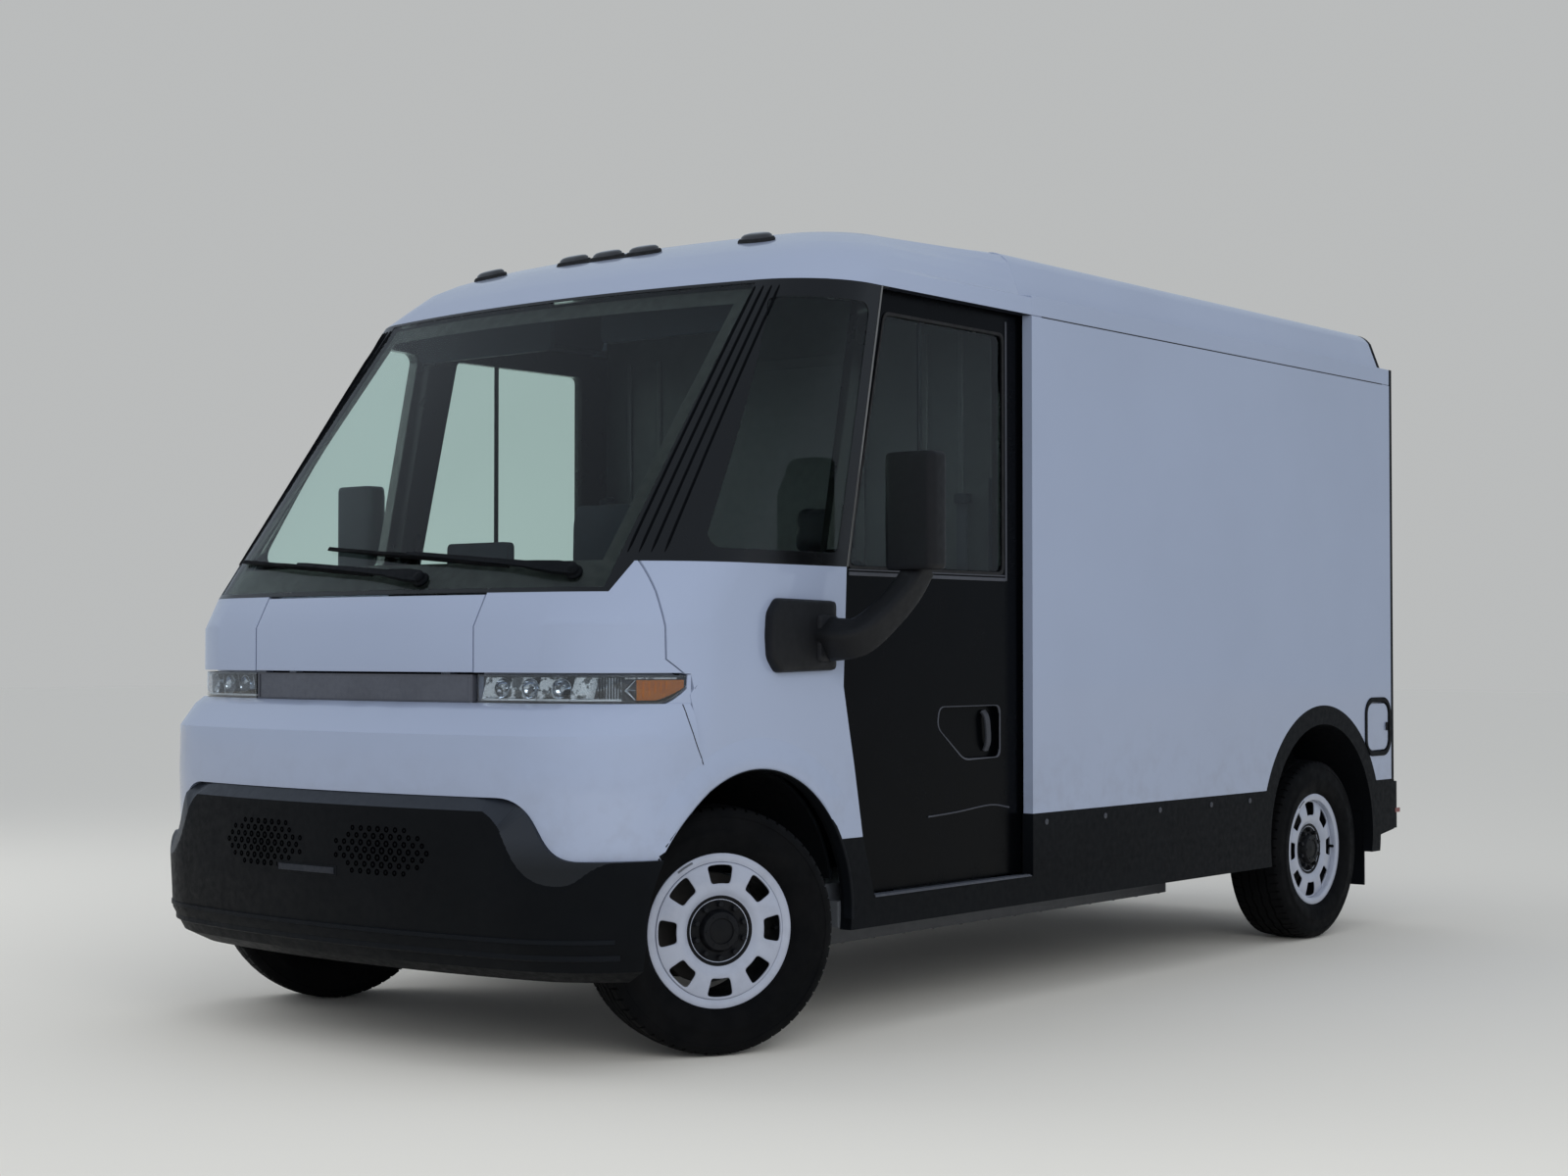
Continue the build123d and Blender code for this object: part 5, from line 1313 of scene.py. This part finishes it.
steering_grip().piece("steering_grip", "cab_trim", replaces=["steering_wheel"], smooth=70)
steering_hub().piece("steering_hub", "cab_trim", smooth=50, bevel=0.001)
dash_details().piece("dash_details", "cab_trim", bevel=0.002)
screens = Form().slab((0.495, -2.0165, 1.5), (0.72, -2.0125, 1.672), 0.012)
screens.slab((-0.14, -1.9855, 1.398), (0.125, -1.9835, 1.58), 0.01).piece("dash_screens", "black_gloss")
bulkhead_ribs().piece("bulkhead_ribs", "floor_grey", material=CAB_GREY, bevel=0.0015)
cab_rails().piece("cab_rails", "cab_trim", smooth=60)
visors = Form().slab((0.12, -1.56, 2.285), (0.8, -1.54, 2.445), 0.03)
visors.slab((-0.8, -1.56, 2.285), (-0.12, -1.54, 2.445), 0.03)
visors.tube([(-0.84, -1.55, 2.452), (0.84, -1.55, 2.452)], 0.008, 10)
visors.piece("sun_visors", "cab_trim", smooth=40, bevel=0.002)


# ---------------------------------------------------------------- seat
def cushion_row(t):
    """The cushion's middle line, with its upward direction."""
    return Vector((SEAT_X, -1.372 + 0.47 * t, 0.933 - 0.012 * t)), UP


def leaning_row(t, low, high):
    """A leaning pad's middle line, with its forward direction."""
    ahead = (high - low).normalized()
    return low.lerp(high, t), ACROSS.cross(ahead).normalized()


def back_row(t):
    """The backrest's middle line."""
    return leaning_row(t, Vector((SEAT_X, -0.872, 0.955)), Vector((SEAT_X, -0.752, 1.56)))


def head_row(t):
    """The headrest's middle line."""
    return leaning_row(t, Vector((SEAT_X, -0.736, 1.585)), Vector((SEAT_X, -0.718, 1.75)))


def pad_form(row_at, half, deep, count):
    """A crowned closed pad with side bolsters, narrower at both ends."""
    rows = []
    for t in spread(0, 1, count):
        end = (1 - abs(2 * t - 1) ** 5) ** 0.5
        centre, up = row_at(t)
        wide = half * (0.8 + 0.2 * end)
        high = deep * (0.3 + 0.7 * end)
        row = []
        for a, b in squarish(40, 0.55, 0.55):
            bolster = 0.018 * max(0.0, abs(a) - 0.62) / 0.38 if b > 0 else 0.0
            row.append(centre + ACROSS * wide * a + up * (high * b + bolster))
        rows.append(row)
    return Form().loft(rows)


VOXEL = 0.008
LAST_FRAME = 20
SEAM_SHARE = 0.62
LONG_SEAM_X = SEAM_SHARE * 0.230


def bake(made):
    """Applies an object's modifiers to its mesh."""
    mesh = bpy.data.meshes.new_from_object(made.evaluated_get(bpy.context.evaluated_depsgraph_get()))
    made.modifiers.clear()
    made.data = mesh


def inflate(made, cap):
    """Voxel-remeshes a pad and swells it as cloth, holding each point within cap of its start."""
    bpy.context.view_layer.objects.active = made
    modify(made, "REMESH", mode="VOXEL", voxel_size=VOXEL)
    bake(made)
    before = [vertex.co.copy() for vertex in made.data.vertices]
    cloth = made.modifiers.new("cloth", "CLOTH")
    cloth.settings.quality = 5
    cloth.settings.use_pressure = True
    cloth.settings.uniform_pressure_force = 4.0
    cloth.settings.effector_weights.gravity = 0.0
    cloth.point_cache.frame_start = 1
    cloth.point_cache.frame_end = LAST_FRAME
    for step in range(1, LAST_FRAME + 1):
        bpy.context.scene.frame_set(step)
    bake(made)
    bpy.context.scene.frame_set(1)
    for vertex, start in zip(made.data.vertices, before):
        move = vertex.co - start
        if move.length > cap:
            vertex.co = start + move.normalized() * cap


def seat_piece(name, row_at, half, deep, count, cap, replaces=()):
    """One upholstered pad."""
    made = pad_form(row_at, half, deep, count).piece(name, "seat_fabric", replaces=replaces, smooth=180)
    inflate(made, cap)
    made.data.polygons.foreach_set("use_smooth", [True] * len(made.data.polygons))
    modify(made, "SUBSURF", levels=1)
    made.data.update()
    return made


def add_seams(seams, made, row_at, half, ends):
    """Two sewn seams along a pad and two across it, laid on its surface."""
    tree = tree_of(made.data)

    def sewn(places, lift, thick):
        path = []
        for t, out in places:
            centre, up = row_at(t)
            place = tree.ray_cast(centre + ACROSS * out + up * 0.3, -up)[0]
            if place is not None:
                path.append(place + up * lift)
        seams.tube(path, thick, 8)

    for out in (-LONG_SEAM_X, LONG_SEAM_X):
        sewn([(t, out) for t in spread(*ends, 24)], 0.0006, 0.0028)
    for t in (0.32, 0.62):
        sewn([(t, half * SEAM_SHARE * out) for out in spread(-1, 1, 16)], 0.0004, 0.0026)


cushion = seat_piece("seat_cushion", cushion_row, 0.232, 0.055, 26, 0.01, ["driver_seat"])
backrest = seat_piece("seat_back", back_row, 0.228, 0.052, 30, 0.01)
seat_piece("seat_headrest", head_row, 0.122, 0.036, 12, 0.008)
seams = Form()
add_seams(seams, cushion, cushion_row, 0.23, (0.06, 0.94))
add_seams(seams, backrest, back_row, 0.228, (0.05, 0.95))
seams.piece("seat_seams", "seat_fabric", material=BLACK_RUBBER)

seat_frame = Form()
for x in (SEAT_X - 0.045, SEAT_X + 0.045):
    seat_frame.tube([(x, -0.745, 1.52), (x, -0.735, 1.64)], 0.006, 10)
for x in (SEAT_X - 0.252, SEAT_X + 0.236):
    seat_frame.slab((x, -1.3, 0.865), (x + 0.016, -0.88, 0.925), 0.018, axis=0)
for x in (SEAT_X - 0.17, SEAT_X + 0.15):
    seat_frame.block((x, -1.345, 0.8605), (x + 0.022, -0.895, 0.872))
seat_frame.piece("seat_frame", "cab_trim", bevel=0.0015)

strap = curve([(0.8, -0.372, 1.78), (0.802, -0.376, 1.5), (0.804, -0.38, 1.1), (0.806, -0.372, 0.74)])
Form().band(strap, [(-0.023, -0.0009), (0.023, -0.0009), (0.023, 0.0009), (-0.023, 0.0009)],
            REARWARDS).piece("belt_strap", "seat_fabric")
hardware = Form().slab((0.772, -0.386, 1.768), (0.828, -0.356, 1.806), 0.01)
hardware.slab((0.77, -0.398, 0.668), (0.842, -0.35, 0.76), 0.012)
hardware.slab((0.784, -0.392, 1.15), (0.822, -0.374, 1.19), 0.006)
hardware.slab((0.19, -0.925, 0.93), (0.216, -0.885, 1.01), 0.008)
hardware.piece("belt_hardware", "cab_trim", bevel=0.0015)


# ---------------------------------------------------------------- underbody
REAR_Y = 1.902
AXLE_Z = 0.381


def front_strut():
    """A coil spring and its damper at the left front wheel."""
    spring = [(0.64 + 0.052 * cos(2 * pi * turn), ARCH_Y + 0.052 * sin(2 * pi * turn), 0.252 + 0.0512 * turn)
              for turn in spread(0.0, 5.0, 120)]
    return Form().tube(spring, 0.007, 10).join(damper((0.64, ARCH_Y, 0.255), (0.64, ARCH_Y, 0.505), 0.022))


def damper(foot, head, thick):
    """A damper: rod, tube and end eyes."""
    along = Vector(head) - Vector(foot)
    form = Form().lathe([(0.0, thick), (along.length * 0.55, thick), (along.length * 0.56, 0.01),
                         (along.length, 0.01)], foot, along, 20, caps=True)
    for end in (foot, head):
        form.lathe([(-0.018, 0.01), (-0.018, 0.024), (0.018, 0.024), (0.018, 0.01)], end, REARWARDS, 20)
    return form


def rear_springing():
    """The rear damper, the U-bolts with their plates, and the leaf clips."""
    form = damper((0.6, REAR_Y - 0.175, 0.395), (0.6, REAR_Y - 0.235, 0.585), 0.024)
    for dy in (-0.075, 0.075):
        for x in (0.577, 0.633):
            form.tube(curve([(x, REAR_Y + dy, z) for z in (0.322, 0.4, 0.478)], 3), 0.007, 8)
    for z in (0.472, 0.316):
        form.slab((0.562, REAR_Y - 0.095, z), (0.648, REAR_Y + 0.095, z + 0.014), 0.01, axis=2)
    for dy in (-0.3, 0.3):
        z = 0.432 + 0.066 * (abs(dy) / 0.56) ** 2
        form.block((0.565, REAR_Y + dy - 0.012, z - 0.014), (0.645, REAR_Y + dy + 0.012, z + 0.062))
    return form


def battery_ribs():
    """Cross ribs and bolt heads under the battery's case."""
    case = Form()
    for j in range(9):
        y = -1.06 + 0.284 * j
        case.slab((-0.62, y - 0.022, 0.217), (0.62, y + 0.022, 0.226), 0.02, axis=2)
    for x in (-0.67, 0.67):
        for j in range(14):
            case.lathe([(0.0, 0.0105), (0.005, 0.0105), (0.007, 0.008), (0.007, 0.001)],
                       (x, -1.1 + 0.18 * j, 0.2255), -UP, 6)
    return case


def drive_unit():
    """The ribbed housing on the rear axle and its bolt heads."""
    left = [(0.055, 0.136), (0.06, 0.128), (0.145, 0.128), (0.15, 0.134), (0.17, 0.134), (0.175, 0.128)]
    right = [(-x, r) for x, r in reversed(left)]
    form = Form().lathe([*right, *left, (0.175, 0.06)], (0, REAR_Y, AXLE_Z), steps=40)
    for y, z in circle(12, 0.128 * 1.02):
        form.lathe([(0.0, 0.009), (0.01, 0.009), (0.012, 0.005), (0.012, 0.001)],
                   (0.055, REAR_Y + y, AXLE_Z + z), steps=6)
    return form


front_strut().join(rear_springing()).pair("suspension_details", "chassis_black", smooth=50)
hose = curve([(x, REAR_Y - y, z) for x, y, z in (
    (0.7, 0.06, 0.4), (0.68, 0.12, 0.44), (0.61, 0.14, 0.52), (0.54, 0.12, 0.56))])
Form().tube(hose, 0.005, 10).pair("brake_hoses", "chassis_black", material=BLACK_RUBBER)
battery_ribs().piece("battery_ribs", "battery_case", bevel=0.0008)
drive_unit().piece("drive_unit", "battery_case", bevel=0.001, smooth=40)


# ---------------------------------------------------------------- flanks
PANEL_SKIN = Skin("side_panel_left", "side_cladding", "front_bumper", "front_fascia", "fenders", "roof_panel",
                  "rear_portal", "charge_ring", "charge_lid")
FENDER_SKIN = Skin("fenders", "front_fascia")
FLARE = ((0.4695, -0.003), (0.4705, 0.0045), (0.476, 0.0068), (0.49, 0.0076), (0.508, 0.007),
         (0.526, 0.005), (0.544, 0.0024), (0.56, 0.0006), (0.572, -0.0006))
FLARE_START = 0.477
LIP_R = 0.469
LIP = ((0.01, 0.0005), (0.004, 0.0022), (-0.002, 0.001), (-0.004, -0.006), (-0.003, -0.03),
       (0.002, -0.03))


def arch_lip():
    """The rolled inner rim of the front wheel opening."""
    rows = []
    for angle in spread(radians(-8), pi, 40):
        out = Vector((0, cos(angle), sin(angle)))
        edge = Vector((0, ARCH_Y, ARCH_Z)) + out * LIP_R
        hit = PANEL_SKIN.side(edge.y + 0.012 * out.y, edge.z + 0.012 * out.z)
        if hit and hit[0].x >= 1.0 and edge.z >= 0.28:
            edge.x = hit[0].x
            rows.append([edge + out * a + ACROSS * b for a, b in LIP])
    return Form().loft(rows)


def fender_point(radius, angle, lift):
    """A point on the fender at a radius round the wheel opening, also across the shut lines."""
    for shift in (0.0, 0.01, -0.01, 0.02):
        hit = FENDER_SKIN.side(ARCH_Y + radius * cos(angle) + shift, ARCH_Z + radius * sin(angle))
        if hit and hit[0].x > 0.8:
            return hit[0] - REARWARDS * shift + hit[1] * lift
    return None


def arch_flare():
    """The soft raised band pressed into the fender round the wheel opening."""
    rows = []
    for j, angle in enumerate(spread(radians(30.5), radians(148.5), 60)):
        fade = ease(min(1.0, j / 9, (60 - j) / 9))
        row = []
        for radius, lift in FLARE:
            point = fender_point(max(radius, FLARE_START), angle, lift * fade - 0.0008 * (1 - fade))
            if point is not None:
                row.append(point - Vector((0, cos(angle), sin(angle))) * max(0.0, FLARE_START - radius))
        if len(row) == len(FLARE):
            rows.append(row)
    return Form().loft(rows, closed=False, caps=False)


def sill_clips():
    """Round clips along the sill trim."""
    clips = Form()
    for y in (-0.28, 0.12, 0.52, 0.92, 1.24):
        clips.lathe([(0.0, 0.0105), (0.0018, 0.0105), (0.003, 0.007), (0.003, 0.001)],
                    PANEL_SKIN.side(y, 0.622)[0], steps=20)
    return clips


def gutter_sealer():
    """The bead along the roof rail's seam."""
    places = [PANEL_SKIN.side(y, 2.4285) for y in (-0.3, 0.4, 1.1, 1.8, 2.5)]
    return Form().tube([place + normal * 0.0004 for place, normal in places], 0.0022, 6)


def cap_seal():
    """The black weather strip under the roof cap, from door opening to door opening."""
    path = []
    for angle in spread(0.0, pi, 120):
        aim = Vector((cos(angle), -sin(angle) * 0.62, 0)).normalized()
        hit = CAP_SKIN.hit(Vector((0, -1.15, 2.4345)) + aim * 3.0, -aim)
        if hit and hit[0].y < -1.22:
            path.append(hit[0] - aim * 0.0035 - UP * 0.005)
    return Form().tube(path, 0.0042, 8)


def shut_line():
    """The dark gap between the nose and the fender, from the lamp down to the arch."""
    path = []
    for z in spread(1.076, 0.876, 24):
        hit = FENDER_SKIN.side(-2.217 + 0.9 * max(0.0, 1.062 - z) ** 1.5 + 0.05 * (1.076 - z), z)
        if hit and hit[0].x > 1.07:
            path.append(hit[0] - hit[1] * 0.0005)
    return Form().tube(path, 0.0019, 6)


arch_flare().pair("arch_flares", "white_paint", smooth=180)
arch_lip().pair("arch_lips", "black_plastic", smooth=60)
sill_clips().pair("sill_clips", "black_plastic", material=DARK_HOUSING)
gutter_sealer().pair("gutter_sealer", "black_plastic", material=BLACK_RUBBER)
Form().slab((1.1036, 2.512, 0.874), (1.1066, 2.528, 0.912), 0.006, axis=0).piece(
    "charge_lid_notch", "black_plastic", "charge_lid", bevel=0.0008)
cap_seal().piece("cap_seal", "black_plastic", material=BLACK_RUBBER)
shut_line().pair("fender_gaps", "black_plastic", material=BLACK_RUBBER)


# ---------------------------------------------------------------- rear
REAR_FACE = 2.6


def rear_pane(x0, x1, z0, z1, out, radius):
    """A round-cornered outline on the rear face."""
    return rounded_rect((x0, REAR_FACE + out, z0), (x1, REAR_FACE + out, z1), radius, steps=5)


def rear_hinges():
    """Three hinges with three knuckles each on the left rear door's outer edge."""
    form = Form()
    for z in (0.92, 1.55, 2.2):
        form.slab((0.905, REAR_FACE + 0.0002, z - 0.04), (0.955, REAR_FACE + 0.006, z + 0.04), 0.008)
        form.slab((0.82, REAR_FACE + 0.0002, z - 0.028), (0.91, REAR_FACE + 0.005, z + 0.028), 0.01)
        for rise in (-0.027, 0.0, 0.027):
            form.lathe([(-0.012, 0.001), (-0.012, 0.007), (0.012, 0.007), (0.012, 0.001)],
                       (0.962, REAR_FACE + 0.01, z + rise), UP, 16)
        for x in (0.835, 0.86, 0.885):
            form.lathe([(0.0, 0.006), (0.003, 0.006), (0.004, 0.003), (0.004, 0.001)],
                       (x, REAR_FACE + 0.0045, z), REARWARDS, 12)
    return form


def add_handle(black, steel):
    """The handle on its plate, and the lock below."""
    plate = rear_pane(0.03, 0.13, 1.32, 1.46, 0.0002, 0.02)
    black.loft(stacked(plate, REARWARDS, (0.0, 1.0), (0.006, 0.98), (0.009, 0.92)))
    black.sweep([Vector((0.08, REAR_FACE + y, z)) for y, z in (
        (0.008, 1.34), (0.026, 1.352), (0.03, 1.39), (0.026, 1.428), (0.008, 1.44))],
        [(0.03, 0.012)] * 5, ACROSS)
    steel.lathe([(0.0, 0.01), (0.003, 0.01), (0.004, 0.007), (0.004, 0.001)],
                (0.08, REAR_FACE + 0.0002, 1.285), REARWARDS, 20)


for side, matrix in SIDES:
    door = f"rear_door_{side}"
    steel = rear_hinges()
    black = Form().tube([(0.006, REAR_FACE + 0.001, 0.715), (0.006, REAR_FACE + 0.001, 2.4)], 0.003, 8)
    if side == "left":
        add_handle(black, steel)
    panel = rear_pane(0.075, 0.8, 0.8, 2.3, 0.0005, 0.05)
    pressing = Form().tube([*panel, panel[0]], 0.0045, 8)
    steel.moved(matrix).piece(f"{door}_hinges", "satin_silver", door, material=STEEL, bevel=0.0008)
    black.moved(matrix).piece(f"{door}_furniture", "black_plastic", door)
    pressing.moved(matrix).piece(f"{door}_pressing", "white_paint", door, smooth=70)


def tail_lens(*spans):
    """Lenses of the left tail lamp between pairs of heights."""
    form = Form()
    for low, high in spans:
        pane = rear_pane(0.992, 1.068, low, high, 0.006, 0.012)
        form.loft(stacked(pane, REARWARDS, (0.0, 1.0), (0.004, 0.98), (0.0055, 0.92)))
    return form.both_sides()


Form().slab((0.986, REAR_FACE + 0.0005, 1.052), (1.074, REAR_FACE + 0.0065, 1.398), 0.018).pair(
    "tail_lamp_bases", "black_plastic", replaces=["tail_lamps"], bevel=0.001)
tail_lens((1.262, 1.392), (1.058, 1.11)).piece("tail_lamp_red", "red_lens")
tail_lens((1.172, 1.256)).piece("tail_lamp_amber", "red_lens", material=AMBER)
tail_lens((1.116, 1.166)).piece("tail_lamp_clear", "lamp_glass", material=WHITE_LENS)

step, marks = Form(), Form()
for j in range(5):
    y = 2.612 + 0.0165 * j
    step.slab((-0.62, y, 0.6395), (0.62, y + 0.008, 0.6435), 0.003, axis=2)
for x in (-0.9, 0.9):
    step.slab((x - 0.055, 2.698, 0.5), (x + 0.055, 2.6995, 0.56), 0.006)
    marks.slab((x - 0.045, 2.6985, 0.51), (x + 0.045, 2.6998, 0.55), 0.005)
step.piece("rear_step_treads", "satin_silver", bevel=0.0006)
marks.piece("rear_reflectors", "red_lens")
Form().slab((1.0855, 2.64, 0.5), (1.0875, 2.69, 0.52), 0.004, axis=0).pair(
    "rear_corner_marks", "red_lens")
Form().slab((-0.16, 2.6975, 0.485), (0.16, 2.6995, 0.595), 0.006).piece(
    "rear_plate_blank", "black_plastic", material=DARK_HOUSING, bevel=0.0005)


# ---------------------------------------------------------------- stage and lights
def add_stage():
    """A plain pale floor."""
    half = 60.0
    mesh = bpy.data.meshes.new("stage_floor")
    mesh.from_pydata([(-half, -half, 0), (half, -half, 0), (half, half, 0), (-half, half, 0)], [],
                     [(0, 1, 2, 3)])
    mesh.materials.append(Shader("stage_floor", rgb(224, 222, 215), 0.9).material)
    add_object("stage_floor", mesh)


def add_light(name, at, toward, size, power):
    """One soft area light, which doesn't show in the paint's gloss."""
    data = bpy.data.lights.new(name, "AREA")
    data.shape = "RECTANGLE"
    data.size, data.size_y = size
    data.energy = power
    light = add_object(name, data)
    light.location = at
    light.rotation_euler = (Vector(toward) - Vector(at)).to_track_quat("-Z", "Y").to_euler()
    light.visible_glossy = False


def add_world():
    """A plain pale surround, seen a little darker than it lights."""
    world = bpy.data.worlds.new("studio")
    world.use_nodes = True
    tree = world.node_tree
    light = tree.nodes["Background"]
    light.inputs["Color"].default_value = (0.92, 0.95, 1.0, 1.0)
    light.inputs["Strength"].default_value = 0.72
    path = tree.nodes.new("ShaderNodeLightPath")
    shown = light.outputs[0]
    for ray, color in (("Is Glossy Ray", (0.42, 0.48, 0.56)), ("Is Transmission Ray", (0.49, 0.5, 0.5)),
                       ("Is Camera Ray", (0.49, 0.5, 0.5))):
        seen = tree.nodes.new("ShaderNodeBackground")
        seen.inputs["Color"].default_value = (*color, 1.0)
        mix = tree.nodes.new("ShaderNodeMixShader")
        for source, target in zip((path.outputs[ray], shown, seen.outputs[0]), mix.inputs):
            tree.links.new(source, target)
        shown = mix.outputs[0]
    tree.links.new(shown, tree.nodes["World Output"].inputs["Surface"])
    bpy.context.scene.world = world


add_camera()
dress_nodes()
add_stage()
add_world()
add_light("key", (7.5, -6.5, 4.2), (0.0, 0.0, 1.3), (6.0, 4.0), 300.0)
add_light("fill", (-7.0, -3.0, 5.0), (0.0, 0.0, 1.0), (6.0, 5.0), 120.0)
add_light("top", (0.0, 0.0, 8.0), (0.0, 0.0, 0.0), (8.0, 8.0), 30.0)

bpy.context.scene.view_settings.view_transform = "Standard"
